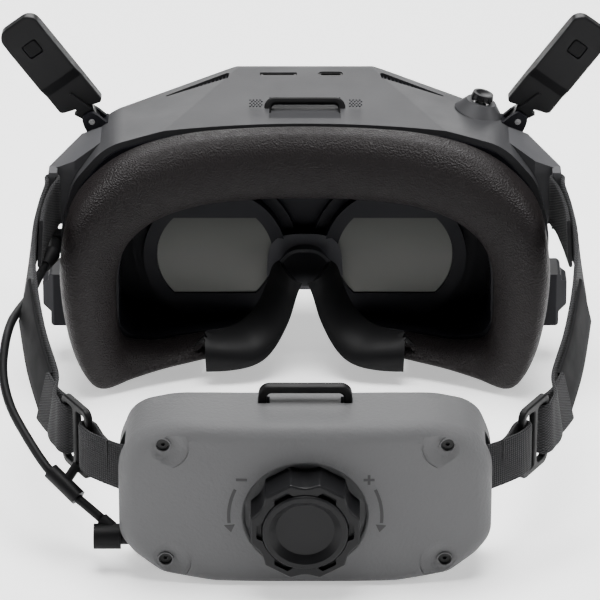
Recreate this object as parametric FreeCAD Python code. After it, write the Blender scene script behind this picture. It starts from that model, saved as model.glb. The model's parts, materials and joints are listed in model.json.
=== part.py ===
"""First-person-view drone goggles with a rear battery pack, as an assembly of separate pieces.

The goggle box rests on its underside and on the two lower tips of its face pad; the battery pack at the back of
the head loop rests on its lower edge. +X is the wearer's right-hand side seen from behind, +Y is forwards (the way
the wearer looks) and +Z is up. The origin is at the centre of the underside of the whole object.
All sizes are in millimetres.
"""
import FreeCAD
import Part
import math
import os

V = FreeCAD.Vector

# ---------------------------------------------------------------- driving dimensions
ORIGIN_Y = -0.85           # where the middle of the object's length lies in the drafting frame below

# goggle box
HALF_WIDTH = 95.5          # half the width of the front casing
FRONT_Y = 131.5            # front face, at the middle
RIM_Y = 77.5               # rear rim of the casing, at the middle
RIM_RADIUS = 260.0         # plan radius of that rim, which wraps round the face
WALL = 2.2                 # casing wall
TOP_FRONT_Z = 105.2        # top of the casing at the front
TOP_SLOPE = 0.102          # how much the top rises per millimetre forwards

# face pad
PAD_FACE_Y = 60.5          # the face side of the pad, at the middle of the forehead
PAD_FACE_RADIUS = 150.0    # plan radius of the face side
PAD_LIP = 1.2              # the pad starts this far behind the rim plate

# optics
LENS_X = 35.8
LENS_Y = 90.0
LENS_Z = 38.0
LENS_RADIUS = 23.0
LENS_HALF_HEIGHT = 16.3
LENS_THICK = 2.5
HOUSING_FLOOR_Y = 97.0     # the recessed plate that carries the lens barrels
SCREEN_SIZE = (77.5, 2.4, 43.6)
SCREEN_Y = 108.5
FAN_AT = (0.0, 98.2, 84.0)
LOOP_Y, LOOP_Z = 88.0, 100.5   # foot of the strap loop on top

# antennas
PIVOT = (84.0, 96.5, 94.5)
SPLAY_DEG = 36.5           # lean of the open antenna outwards from upright
PIN_RADIUS = 1.2
BLADE = (17.0, 7.5, 46.0)
BLADE_START = 4.6          # from the splay pivot to the foot of the blade

# five-way stick
STICK_AT = (69.6, 98.0, 100.9)
STICK_LEAN_DEG = 14.0
STICK_PIVOT_Z = -1.7

# battery pack, drawn upright and then leaned about its lower rear edge
PACK_LEAN_DEG = 5.0
PACK_REAR_Y = -118.0
PACK_HALF_WIDTH = 68.0
PACK_HEIGHT = 66.0
PACK_SPLIT_Y = -94.0       # the seam between the two pack casings
PACK_WALL = 2.0
DIAL_Z = 29.6
DIAL_RADIUS = 20.5
DIAL_HEIGHT = 13.0
DISH_RADIUS = 22.4
CAP_SEAT = 4.6             # depth of the seat for the cap in the hand wheel
PACK_SCREW_AT = ((51.4, 57.8), (51.0, 9.2))
SCREW_HEAD_Y = -113.6      # outer faces of the pack's screw heads, a little under the casing's face

# tightening gear
MODULE = 1.0
PINION_TEETH = 12
PITCH_RADIUS = MODULE * PINION_TEETH / 2
RACK_ADDENDUM = 0.66
BACKLASH = 0.22
GEAR_Y = (-106.0, -102.5)
SHAFT_RADIUS = 2.4

# webbing
WEB_HEIGHT = 20.0
WEB_THICK = 1.6
SIDE_STRAP = [(98.6, 60.9, 73.5), (102.2, 45.0, 70.0), (104.8, 22.0, 65.8), (103.8, -2.6, 61.0),
              (99.2, -35.0, 55.2), (93.2, -62.0, 50.0), (88.6, -79.2, 46.9)]
REAR_STRAP = [(77.9, -97.2, 44.6, 0.0), (73.4, -101.2, 43.0, 3.0), (67.5, -104.3, 41.7, 5.0),
              (60.5, -106.3, 41.4, 5.0), (52.2, -107.6, 41.3, 5.0)]
BUCKLE_AT = (83.6, -88.0, 46.0)
BUCKLE_TURN_DEG = 58.0

# power lead
LEAD_RADIUS = 1.75
LEAD_ROUTE = [(-101.2, 41.0, 55.4), (-103.4, 32.5, 54.2), (-106.0, 20.5, 52.0), (-109.4, 6.0, 53.2),
              (-111.8, -10.5, 55.6), (-113.2, -28.5, 55.0), (-113.4, -45.5, 50.6), (-110.0, -61.5, 45.2),
              (-103.6, -75.0, 40.2), (-96.4, -86.8, 34.0), (-88.8, -92.8, 27.4), (-80.6, -97.8, 22.6),
              (-74.6, -101.2, 18.6)]


# ---------------------------------------------------------------- drawing helpers
def rounded(points, to3d):
    """A closed wire through (a, b, radius) corners, each corner rounded by an arc. to3d maps (a, b) to a Vector."""
    count = len(points)
    starts, ends, mids = [], [], []
    for i in range(count):
        a, b = points[i][:2]
        r = points[i][2] if len(points[i]) > 2 else 0.0
        pa, pb = points[i - 1][:2]
        na, nb = points[(i + 1) % count][:2]
        before = V(pa - a, pb - b, 0)
        after = V(na - a, nb - b, 0)
        corner = V(a, b, 0)
        if r <= 0:
            starts.append(corner)
            ends.append(corner)
            mids.append(None)
            continue
        reach_in, reach_out = before.Length, after.Length
        before.normalize()
        after.normalize()
        turn = math.acos(max(-1.0, min(1.0, before.dot(after))))
        cut = min(r / math.tan(turn / 2), 0.49 * reach_in, 0.49 * reach_out)
        r = cut * math.tan(turn / 2)
        inwards = before + after
        inwards.normalize()
        centre = corner + inwards * (r / math.sin(turn / 2))
        starts.append(corner + before * cut)
        ends.append(corner + after * cut)
        mids.append(centre - inwards * r)
    edges = []
    for i in range(count):
        if mids[i] is not None:
            edges.append(Part.Arc(to3d(starts[i]), to3d(mids[i]), to3d(ends[i])).toShape())
        following = (i + 1) % count
        if (starts[following] - ends[i]).Length > 1e-6:
            edges.append(Part.LineSegment(to3d(ends[i]), to3d(starts[following])).toShape())
    return Part.Wire(edges)


def both_sides(half):
    """A closed outline from its right half, listed from the top middle down to the bottom middle."""
    left = [(-p[0], *p[1:]) for p in reversed(half) if abs(p[0]) > 1e-6]
    return list(half) + left


def prism_y(points, y0, y1):
    """An outline in X and Z, carried from y0 to y1."""
    wire = rounded(points, lambda p: V(p.x, y0, p.y))
    return Part.Face(wire).extrude(V(0, y1 - y0, 0))


def prism_z(points, z0, z1):
    """An outline in X and Y, carried from z0 to z1."""
    wire = rounded(points, lambda p: V(p.x, p.y, z0))
    return Part.Face(wire).extrude(V(0, 0, z1 - z0))


def prism_x(points, x0, x1):
    """An outline in Y and Z, carried from x0 to x1."""
    wire = rounded(points, lambda p: V(x0, p.x, p.y))
    return Part.Face(wire).extrude(V(x1 - x0, 0, 0))


def rod(at, direction, radius, length):
    return Part.makeCylinder(radius, length, V(*at), V(*direction))


def block(low, high):
    return Part.makeBox(high[0] - low[0], high[1] - low[1], high[2] - low[2], V(*low))


def mirrored(shape):
    return shape.mirror(V(0, 0, 0), V(1, 0, 0))


def soften(shape, radius, chosen):
    """Rounds the chosen edges, trying smaller radii if the full one can't be made."""
    for share in (1.0, 0.7, 0.5, 0.3):
        edges = [e for e in shape.Edges if chosen(e)]
        try:
            done = shape.makeFillet(radius * share, edges)
            if done.isValid() and done.Volume > 0.5 * shape.Volume:
                return done
        except Exception:
            continue
    print("kept sharp:", radius)
    return shape


def biggest(shape):
    """The largest solid of a shape."""
    return max(shape.Solids, key=lambda s: s.Volume)


def middle(edge):
    return edge.valueAt((edge.FirstParameter + edge.LastParameter) / 2)


def arc_band(y_mid, radius, x_half, depth_forward, z0=-30.0, z1=150.0):
    """The solid forward of a plan arc whose middle is at y_mid and which bends back at the sides."""
    drop = radius - math.sqrt(radius ** 2 - x_half ** 2)
    edge = Part.Arc(V(-x_half, y_mid - drop, z0), V(0, y_mid, z0), V(x_half, y_mid - drop, z0)).toShape()
    far = y_mid + depth_forward
    sides = [Part.LineSegment(V(x_half, y_mid - drop, z0), V(x_half, far, z0)).toShape(),
             Part.LineSegment(V(x_half, far, z0), V(-x_half, far, z0)).toShape(),
             Part.LineSegment(V(-x_half, far, z0), V(-x_half, y_mid - drop, z0)).toShape()]
    return Part.Face(Part.Wire([edge] + sides)).extrude(V(0, 0, z1 - z0))


def band(route, height, thick):
    """Flat webbing that stands on edge and follows a route. A fourth value at a point leans the band there."""
    sections = []
    for i, at in enumerate(route):
        near = route[max(i - 1, 0)]
        far = route[min(i + 1, len(route) - 1)]
        along = V(far[0] - near[0], far[1] - near[1], 0)
        along.normalize()
        across = V(-along.y, along.x, 0) * (thick / 2)
        lean = math.radians(at[3]) if len(at) > 3 else 0.0
        up = V(0, -math.sin(lean), math.cos(lean)) * (height / 2)
        c = V(*at[:3])
        corners = [c - across - up, c + across - up, c + across + up, c - across + up]
        sections.append(Part.makePolygon(corners + corners[:1]))
    return Part.makeLoft(sections, True, True)


# ---------------------------------------------------------------- goggle box
def casing_body(inset=0.0, rear=0.0):
    """The solid inside the casing's outer surface, shrunk by inset, and carried back past the rim by rear."""
    k = inset
    front_view = both_sides([
        (0, 106 - k), (20, 106 - k, 50), (78 - k, 95.2 - k, 20), (90.5 - k, 82 - k, 16),
        (HALF_WIDTH - k, 62, 22), (HALF_WIDTH - k, 36, 30), (84 - k, 10 + k * 0.5, 18), (64, k, 14), (0, k)])
    w = HALF_WIDTH + 0.6 - k
    plan = both_sides([(0, FRONT_Y - k), (25, FRONT_Y - 1.6 - k, 40), (78 - k * 0.6, 103.5 - k, 30), (w, 84, 20),
                       (w, 20), (0, 20)])
    top = TOP_FRONT_Z - k
    side = [(20, top - TOP_SLOPE * 108), (FRONT_Y - 3.5 - k, top, 5), (FRONT_Y + 1, 84, 30), (FRONT_Y + 1, 60, 40),
            (118 - k, -0.01 + k * 0.8, 8), (20, -0.01 + k * 0.8)]
    body = prism_y(front_view, 0, 150).common(prism_x(side, -100, 100)).common(prism_z(plan, -5, 120))
    return body.common(arc_band(RIM_Y - rear, RIM_RADIUS, 110, 80)) if rear < 50 else body


def nose_outline(grow=0.0):
    g = grow
    return both_sides([(0, 42 + g, 4), (6.5 + g, 41 + g, 4.5), (9.3 + g, 34, 7), (10.5 + g, 24, 14),
                       (19 + g, 8, 22), (27 + g, -8)])


def opening_outline(grow=0.0):
    """The inner edge of the rim plate and of the face pad, seen from behind."""
    g = grow
    return both_sides([(0, 73 + g), (48, 72 + g, 40), (68.5 + g, 63 + g, 17), (73.5 + g, 42, 30),
                       (73.5 + g, 14 - g, 9), (58, 11 - g, 8), (30, 13 - g, 6), (0, 13 - g)])


def front_casing():
    outer = biggest(casing_body())
    outer = soften(outer, 4.0, lambda e: middle(e).y > 92 and middle(e).z > 20 and e.Length > 8)
    shell = outer.cut(casing_body(WALL, 100)).cut(prism_y(nose_outline(2.0), 0, 150))
    return biggest(shell), outer


def visor_outline(grow=0.0):
    g = grow
    return both_sides([(0, 86 + g), (50 + g, 84 + g, 10), (60 + g, 66, 12), (54 + g, 30 - g, 14), (26, 22 - g, 12),
                       (12, 50 - g * 0.5, 9), (0, 52 - g * 0.5)])


def visor(outer):
    """The smoked front cover, set 1.4 mm into the casing's front, and the pocket that it sits in."""
    deeper = outer.translated(V(0, -1.4, 0))
    cover = outer.common(prism_y(visor_outline(), 85, 150)).cut(deeper)
    pocket = prism_y(visor_outline(0.15), 85, 150).cut(outer.translated(V(0, -1.45, 0)))
    return biggest(cover), pocket


def face_frame():
    """The rim plate that closes the casing, the recessed tub behind it, and the two stepped lens barrels."""
    plate = casing_body(WALL + 0.1, 60).common(arc_band(RIM_Y - 0.6, RIM_RADIUS, 110, 80))
    plate = plate.cut(arc_band(RIM_Y + 2.0, RIM_RADIUS, 110, 80)).cut(prism_y(opening_outline(), 0, 150))
    tub = prism_y(opening_outline(1.8), 40, HOUSING_FLOOR_Y + 2).common(arc_band(RIM_Y - 0.6, RIM_RADIUS, 110, 80))
    tub = tub.cut(prism_y(opening_outline(), 30, HOUSING_FLOOR_Y))
    frame = plate.fuse(tub)
    for side in (-1, 1):
        at = (side * LENS_X, HOUSING_FLOOR_Y + 1, LENS_Z)
        frame = frame.fuse(rod(at, (0, -1, 0), 33.0, 3.5)).fuse(rod(at, (0, -1, 0), 28.5, 9.0))
    keep = prism_y(opening_outline(1.8), 40, 150).fuse(plate)
    frame = frame.common(keep)
    for side in (-1, 1):
        bore = lens_prism(side, 0.15, 80, 120)
        frame = frame.cut(bore)
    frame = frame.cut(prism_y(nose_outline(2.0), 0, 150))
    return biggest(frame.removeSplitter())


def lens_prism(side, grow, y0, y1):
    """A round lens outline with its top and bottom cut flat."""
    disc = rod((side * LENS_X, y0, LENS_Z), (0, 1, 0), LENS_RADIUS + grow, y1 - y0)
    half = LENS_HALF_HEIGHT + grow
    flat = block((side * LENS_X - 30, y0, LENS_Z - half), (side * LENS_X + 30, y1, LENS_Z + half))
    return disc.common(flat)


def lens(side):
    return lens_prism(side, 0.0, LENS_Y, LENS_Y + LENS_THICK)


def lens_retainer(side):
    """The thin ring that holds a lens in its barrel from the front."""
    ring = lens_prism(side, 0.0, LENS_Y + LENS_THICK + 0.05, LENS_Y + LENS_THICK + 2.0)
    return ring.cut(lens_prism(side, -2.2, 80, 120))


def nose_bridge():
    """The smooth arch under the nose notch, which joins the casing's underside to the face frame."""
    arch = prism_y(nose_outline(1.9), 66, 121).cut(prism_y(nose_outline(), 0, 150))
    trimmed = arch.common(block((-40, 0, 18), (40, 150, 60)))
    return biggest(trimmed.common(casing_body(0.3, 100)))


def optics_tunnel():
    """The light-tight box between the lenses and the display."""
    outer = prism_y(both_sides([(0, 60, 0), (58, 60, 6), (58, 17, 6), (16, 17, 4), (14, 47, 4), (0, 47)]),
                    HOUSING_FLOOR_Y + 2.1, SCREEN_Y - 0.1)
    inner = prism_y(both_sides([(0, 58.4, 0), (56.4, 58.4, 5), (56.4, 18.6, 5), (17.6, 18.6, 3),
                                (15.6, 48.6, 3), (0, 48.6)]), 90, 130)
    return outer.cut(inner)


def display():
    w, t, h = SCREEN_SIZE
    return block((-w / 2, SCREEN_Y, 47.5), (w / 2, SCREEN_Y + t, 47.5 + h * 0.55))


def main_board():
    return block((-38, 114.2, 48), (38, 115.6, 84))


def heat_sink():
    base = block((-26, 115.7, 52), (26, 117.0, 80))
    fins = [block((-25 + i * 5, 117.0, 53), (-23.8 + i * 5, 121.2, 79)) for i in range(11)]
    return base.multiFuse(fins).removeSplitter()


def fan_housing():
    x, y, z = FAN_AT
    frame = block((x - 14, y - 14, z), (x + 14, y + 14, z + 8))
    frame = frame.cut(rod((x, y, z - 1), (0, 0, 1), 12.6, 10))
    hub = rod((x, y, z), (0, 0, 1), 4.0, 1.2)
    arms = [block((x - 13, y - 0.8, z), (x + 13, y + 0.8, z + 1.0)),
            block((x - 0.8, y - 13, z), (x + 0.8, y + 13, z + 1.0))]
    post = rod((x, y, z), (0, 0, 1), 0.9, 5.0)
    return frame.fuse(hub).fuse(arms[0]).fuse(arms[1]).fuse(post).removeSplitter()


def fan_rotor():
    x, y, z = FAN_AT
    hub = rod((x, y, z + 1.8), (0, 0, 1), 4.6, 5.4).cut(rod((x, y, z + 1), (0, 0, 1), 0.95, 4.4))
    blades = []
    for i in range(7):
        blade = block((3.6, -0.5, z + 2.4), (11.8, 0.5, z + 6.4))
        blade.rotate(V(7, 0, z + 4.4), V(1, 0, 0), 35)
        blade.translate(V(x, y, 0))
        blade.rotate(V(x, y, 0), V(0, 0, 1), i * 360 / 7)
        blades.append(blade)
    return hub.multiFuse(blades)


def vent_outline(grow=0.0):
    """One long tapering vent in the top, to the right, in X and Y."""
    g = grow
    return [(29.6 - g, 120.6 + g, 1.2), (30.6 - g, 114.6 - g, 1.2), (60.6 + g, 104.2 - g * 0.4, 0.5)]


def vent_pocket():
    return prism_z(vent_outline(), 88, 115)


def under_top(near, far):
    """What lies between two depths under the casing's outer surface."""
    return casing_body(near, 100).cut(casing_body(far, 100))


def vent_grille():
    """The slatted insert in a vent, right-hand side: a tray against the wall's inside, with slats that stand in it."""
    tray = prism_z(vent_outline(1.2), 85, 115).common(under_top(WALL + 0.05, WALL + 1.2))
    slats = [block((31.0 + i * 1.5, 100, 85), (31.6 + i * 1.5, 124, 115)) for i in range(20)]
    comb = Part.makeCompound(slats).common(prism_z(vent_outline(-0.1), 85, 115)).common(under_top(0.9, WALL + 1.0))
    return biggest(tray.fuse(comb).removeSplitter())


def bail(y, z, half_width, height, thick, deep):
    """A fixed loop of rounded bar that a top strap threads through."""
    outer = prism_y([(-half_width, z - 2.2), (-half_width, z + height, 4.2), (half_width, z + height, 4.2),
                     (half_width, z - 2.2)], y, y + deep)
    inner = prism_y([(-half_width + thick, z - 5), (-half_width + thick, z + height - thick, 2.0),
                     (half_width - thick, z + height - thick, 2.0), (half_width - thick, z - 5)], y - 2, y + deep + 2)
    loop = outer.cut(inner)
    return soften(loop, 0.9, lambda e: middle(e).z > z + 0.5 and abs(e.tangentAt(e.FirstParameter).y) < 0.5)


def top_loop():
    loop = bail(0, 0, 16.0, 7.6, 2.7, 4.2)
    loop.rotate(V(0, 0, 0), V(1, 0, 0), -32)
    loop.translate(V(0, LOOP_Y, LOOP_Z - 1.6))
    return loop


def loop_recess():
    """The shallow scoop in the casing top in front of and beside the loop."""
    return prism_x([(82, 99.3), (98, 99.3 + 1.2), (99.5, 104), (98, 108), (80, 108)], -14, 14)


def usb_socket():
    outer = prism_z([(5.6, 116.6, 1.6), (15.0, 116.6, 1.6), (15.0, 119.9, 1.6), (5.6, 119.9, 1.6)], 97.2, 104.0)
    cavity = prism_z([(6.2, 117.2, 1.1), (14.4, 117.2, 1.1), (14.4, 119.3, 1.1), (6.2, 119.3, 1.1)], 98.2, 106)
    tongue = block((7.2, 117.9, 97.8), (13.4, 118.6, 103.2))
    return outer.cut(cavity).fuse(tongue).removeSplitter()


def card_slot():
    outer = block((-17.6, 117.2, 96.5), (-3.4, 119.2, 103.9))
    return outer.cut(block((-16.6, 117.7, 98), (-4.4, 118.7, 106)))


def port_cuts():
    usb = prism_z([(5.4, 116.4, 1.75), (15.2, 116.4, 1.75), (15.2, 120.1, 1.75), (5.4, 120.1, 1.75)], 94, 110)
    card = block((-17.8, 117.0, 94), (-3.2, 119.4, 110))
    return usb.fuse(card)


def screw_places():
    """Where the five screws of the face frame enter its rear side, which bends with the rim."""
    for x, z in ((-60, 84), (0, 90), (60, 84), (-84, 30), (84, 30)):
        drop = RIM_RADIUS - math.sqrt(RIM_RADIUS ** 2 - x ** 2)
        yield x, RIM_Y - 0.6 - drop, z


def casing_screws():
    """The small screws that hold the face frame to the casing, from the face side, under the pad."""
    found = []
    for x, y, z in screw_places():
        head = rod((x, y + 0.05, z), (0, 1, 0), 1.9, 0.9)
        socket = rod((x, y - 0.1, z), (0, 1, 0), 0.8, 0.7)
        found.append(head.cut(socket).fuse(rod((x, y + 0.8, z), (0, 1, 0), 0.9, 5.0)).removeSplitter())
    return Part.makeCompound(found)


def screw_holes():
    holes = []
    for x, y, z in screw_places():
        holes.append(rod((x, y - 2, z), (0, 1, 0), 2.05, 2.95).fuse(rod((x, y, z), (0, 1, 0), 1.0, 10)))
    return Part.makeCompound(holes)


# ---------------------------------------------------------------- soft pieces of the box
def pad_outline():
    return both_sides([(0, 100.2), (46, 99.4, 60), (76, 92.6, 24), (91.5, 77, 26), (95.4, 50, 40), (90.5, 18, 40),
                       (81.5, -0.01, 8), (74.0, 0.6, 6), (63, 3.6, 10), (36, 6.4)])


def face_pad():
    """The foam face pad: a thick roll that is open at the nose, flat against the rim plate and hollowed at the face."""
    whole = prism_y(pad_outline(), 0, 110).cut(prism_y(opening_outline(), -5, 120))
    whole = whole.cut(block((-38.7, -5, -5), (38.7, 120, 40)))
    pad = whole.common(arc_band(PAD_FACE_Y, PAD_FACE_RADIUS, 110, 80))
    pad = pad.cut(arc_band(RIM_Y - PAD_LIP, RIM_RADIUS, 110, 80))
    return biggest(pad)


def nose_flap():
    """Right-hand rubber nose flap: a curved blade that leans back from the nose notch down to the pad's lower end."""
    shape = [(38.3, 15.6, 2), (38.3, 6.6, 2.5), (19.7, 6.4, 9), (9.9, 12.3, 14), (2.8, 22.5, 8), (2.5, 27.4, 1.5),
             (8.9, 33.6, 2), (11.9, 28.3, 8), (15.8, 22.9, 6), (21.7, 18.4, 8), (32, 16.2, 6)]
    slab = [(50.0, 4.0), (54.4, 4.0), (94.4, 35.6), (90.0, 35.6)]
    return prism_y(shape, 40, 110).common(prism_x(slab, 0, 45))


# ---------------------------------------------------------------- strap arms, webbing and buckles
def strap_arm():
    """Right-hand arm: a faceted bracket that leaves the casing's corner and ends in the bar that holds the webbing."""
    plan = [(80, 92), (88.0, 92.0), (100.0, 70.6, 1.5), (100.0, 66.4, 0.8), (90.0, 66.4), (80, 76)]
    top = prism_y([(78, 93.4), (101, 84.6), (101, 62, 2), (78, 62)], 60, 95)
    arm = prism_z(plan, 58, 96).common(top)
    lugs = block((96.6, 61.4, 84.2), (100.0, 68.0, 86.0)).fuse(block((96.6, 61.4, 62.0), (100.0, 68.0, 63.2)))
    bar = block((97.4, 61.4, 63.0), (99.8, 63.6, 84.4))
    return biggest(arm.fuse(lugs).fuse(bar).cut(casing_body(0.0, 100)).removeSplitter())


def side_bracket():
    """Right-hand lower bracket on the casing's side, stepped like the latch that it is."""
    plan = [(90, 70), (99.5, 70, 1), (104.2, 74, 1.5), (104.2, 82, 1.5), (100, 86, 1), (90, 86)]
    view = [(90, 16.2), (100.6, 16.2, 1), (100.6, 22, 0.5), (103.8, 24, 1), (103.8, 34.2, 1), (101.4, 35.2, 0.8),
            (101.4, 38.4, 2), (90, 38.4)]
    body = prism_z(plan, 10, 45).common(prism_y(view, 60, 95))
    return biggest(body.cut(casing_body(0.0, 100)))


def side_strap():
    return band(SIDE_STRAP, WEB_HEIGHT, WEB_THICK)


def strap_tab():
    """The hook-and-loop tongue that folds back on the outside of the side strap."""
    route = []
    for x, y, z in SIDE_STRAP[3:6]:
        route.append((x + 1.9, y, z))
    return band(route, WEB_HEIGHT - 1.0, 1.4)


def buckle_frame():
    """Right-hand buckle, drawn flat in X and Z: a two-slot frame whose middle bar parts the two straps."""
    frame = prism_y([(-9.5, -14.5, 3.5), (9.5, -14.5, 3.5), (9.5, 14.5, 3.5), (-9.5, 14.5, 3.5)], -1.4, 1.4)
    for x0, x1 in ((-7.0, -1.3), (1.3, 7.0)):
        frame = frame.cut(prism_y([(x0, -11.6, 1.2), (x1, -11.6, 1.2), (x1, 11.6, 1.2), (x0, 11.6, 1.2)], -3, 3))
    return soften(frame, 0.7, lambda e: abs(middle(e).y) > 1.3)


def set_buckle(shape):
    shape.rotate(V(0, 0, 0), V(0, 0, 1), BUCKLE_TURN_DEG)
    shape.rotate(V(0, 0, 0), V(1, 0, 0), 4)
    shape.translate(V(*BUCKLE_AT))
    return shape


def rear_strap():
    return band(REAR_STRAP, WEB_HEIGHT - 1.5, WEB_THICK)


# ---------------------------------------------------------------- antennas and five-way stick
def upright(shape, at):
    """Leans a right-hand antenna piece from upright and puts it on its pivot."""
    shape.rotate(V(0, 0, 0), V(0, 1, 0), SPLAY_DEG)
    shape.translate(V(*at))
    return shape


def plug_outline(grow=0.0):
    """The rounded square of the rubber plug, or of the pocket round it."""
    half = 2.9 + grow
    low, high = BLADE_START + 33.6 - half, BLADE_START + 33.6 + half
    return [(-half, low, 1.2), (half, low, 1.2), (half, high, 1.2), (-half, high, 1.2)]


def antenna_blade():
    """Blade with its tongue-shaped neck and hinge eye, drawn upright about the splay pivot."""
    w, t, length = BLADE
    z0 = BLADE_START
    face = prism_y([(-w / 2, z0 - 1.2, 1.5), (w / 2, z0 + 4.5, 2.0), (w / 2, z0 + length, 4.6),
                    (-w / 2, z0 + length, 4.6)], -t / 2, t / 2)
    side = prism_x([(-t / 2 + 1.5, z0 - 3), (t / 2 - 0.6, z0 - 3), (t / 2, z0 + 14, 12), (t / 2, z0 + length - 6, 10),
                    (t / 2 - 2.2, z0 + length + 0.5, 1), (-t / 2 + 1.0, z0 + length + 0.5, 1.5),
                    (-t / 2, z0 + length - 9, 12), (-t / 2, z0 + 17.5, 2), (-t / 2 + 1.5, z0 + 13.5, 2)], -w, w)
    blade = soften(face.common(side), 0.9, lambda e: e.Length > 5)
    neck = prism_y([(-3.0, 0), (3.0, 0), (3.0, z0 - 2), (4.4, z0 + 1), (-4.4, z0 + 1), (-3.0, z0 - 2)], -1.9, 1.9)
    eye = rod((0, -1.9, 0), (0, 1, 0), 3.1, 3.8)
    tongue = prism_y([(-3.0, z0 - 0.2), (3.0, z0 - 0.2), (0.5, z0 + 9.4, 0.4), (-0.5, z0 + 9.4, 0.4)], -3.3, -1.5)
    whole = blade.fuse(neck).fuse(eye).fuse(tongue)
    seat = prism_y(plug_outline(0.4), -t / 2 - 2, -t / 2 + 1.6)
    whole = whole.cut(seat).cut(rod((0, -5, 0), (0, 1, 0), PIN_RADIUS + 0.06, 10))
    return biggest(whole.removeSplitter())


def antenna_plug():
    """The small rubber plug near the tip of the blade."""
    t = BLADE[1]
    plug = prism_y(plug_outline(), -t / 2 - 0.1, -t / 2 + 1.6)
    return soften(plug, 0.5, lambda e: middle(e).y < -t / 2)


def antenna_pin():
    """The slotted steel pin that the blade folds on."""
    pin = rod((0, -4.4, 0), (0, 1, 0), PIN_RADIUS, 8.8)
    return pin.cut(block((-1.6, -4.6, -0.3), (1.6, -3.9, 0.3)))


def bracket_base():
    return block((-5.0, -4.4, -7.4), (5.0, 4.4, -3.5))


def antenna_bracket():
    """The forked lug, let into the casing's corner, that holds both ends of the pin."""
    ears = []
    for y0, y1 in ((-4.4, -2.2), (2.2, 4.4)):
        ears.append(prism_y([(-5.0, -6.0), (5.0, -6.0), (3.6, 0.4, 1), (2.4, 3.6, 2.2), (-2.4, 3.6, 2.2),
                             (-3.6, 0.4, 1)], y0, y1))
    whole = bracket_base().fuse(ears[0]).fuse(ears[1]).cut(rod((0, -6, 0), (0, 1, 0), PIN_RADIUS, 12))
    return biggest(whole.removeSplitter())


def stick_place(shape):
    shape.rotate(V(0, 0, 0), V(0, 1, 0), STICK_LEAN_DEG)
    shape.translate(V(*STICK_AT))
    return shape


def stick_collar():
    """The round boss that the five-way stick stands in."""
    body = Part.makeCone(9.6, 6.0, 4.4, V(0, 0, -4.2), V(0, 0, 1))
    body = body.cut(rod((0, 0, -6), (0, 0, 1), 4.0, 12))
    return body.cut(rod((-5.0, 0, STICK_PIVOT_Z), (1, 0, 0), 0.5, 10.0))


def stick_gimbal():
    ring = rod((0, 0, STICK_PIVOT_Z - 0.8), (0, 0, 1), 3.5, 1.6).cut(rod((0, 0, -4), (0, 0, 1), 2.4, 6))
    ring = ring.cut(rod((0, -4, STICK_PIVOT_Z), (0, 1, 0), 0.45, 8))
    pins = [rod((x, 0, STICK_PIVOT_Z), (1, 0, 0), 0.45, 1.7) for x in (-4.8, 3.1)]
    return ring.fuse(pins[0]).fuse(pins[1]).removeSplitter()


def stick_stem():
    stem = rod((0, 0, -3.6), (0, 0, 1), 1.1, 5.0)
    pins = rod((0, -3.2, STICK_PIVOT_Z), (0, 1, 0), 0.4, 6.4)
    return stem.fuse(pins).removeSplitter()


def stick_cap():
    body = Part.makeCone(4.5, 4.1, 2.3, V(0, 0, 1.4), V(0, 0, 1))
    for i in range(12):
        a = math.radians(i * 30)
        body = body.cut(rod((4.7 * math.cos(a), 4.7 * math.sin(a), 0.5), (0, 0, 1), 0.55, 4))
    body = body.cut(Part.makeSphere(8.0, V(0, 0, 11.1)))
    skirt = rod((0, 0, 0.8), (0, 0, 1), 2.4, 0.9)
    return biggest(body.fuse(skirt).cut(rod((0, 0, 0.2), (0, 0, 1), 1.15, 1.9)).removeSplitter())


# ---------------------------------------------------------------- battery pack
def leaned(shape, degrees=PACK_LEAN_DEG):
    shape.rotate(V(0, PACK_REAR_Y, 0), V(1, 0, 0), degrees)
    return shape


def pack_body(inset=0.0):
    k = inset
    view = both_sides([(0, PACK_HEIGHT - k), (40, PACK_HEIGHT - k, 40), (62 - k, 59.5 - k, 16),
                       (PACK_HALF_WIDTH - k, 46, 20), (PACK_HALF_WIDTH - k, 18, 24), (64.5 - k, 11.4 + k * 0.6, 8),
                       (52, 3.4 + k, 8), (34, k, 30), (0, k)])
    plan = [(0, PACK_REAR_Y + k), (34, PACK_REAR_Y + 0.9 + k, 60), (63 - k, PACK_REAR_Y + 5.4 + k, 9),
            (PACK_HALF_WIDTH - k, -104, 12), (PACK_HALF_WIDTH - k, -88.5, 3), (64 - k * 0.6, -85.2 - k, 3),
            (26, -90.4 - k, 60), (0, -91.0 - k)]
    side = [(PACK_REAR_Y - 0.3 + k, -0.3 + k, 7), (PACK_REAR_Y - 0.3 + k, PACK_HEIGHT + 0.3 - k, 7.5),
            (-84.9 - k, PACK_HEIGHT + 0.3 - k, 9), (-84.9 - k, -0.3 + k, 9)]
    return prism_y(view, -125, -75).common(prism_z(both_sides(plan), -5, 75)).common(prism_x(side, -80, 80))


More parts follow.
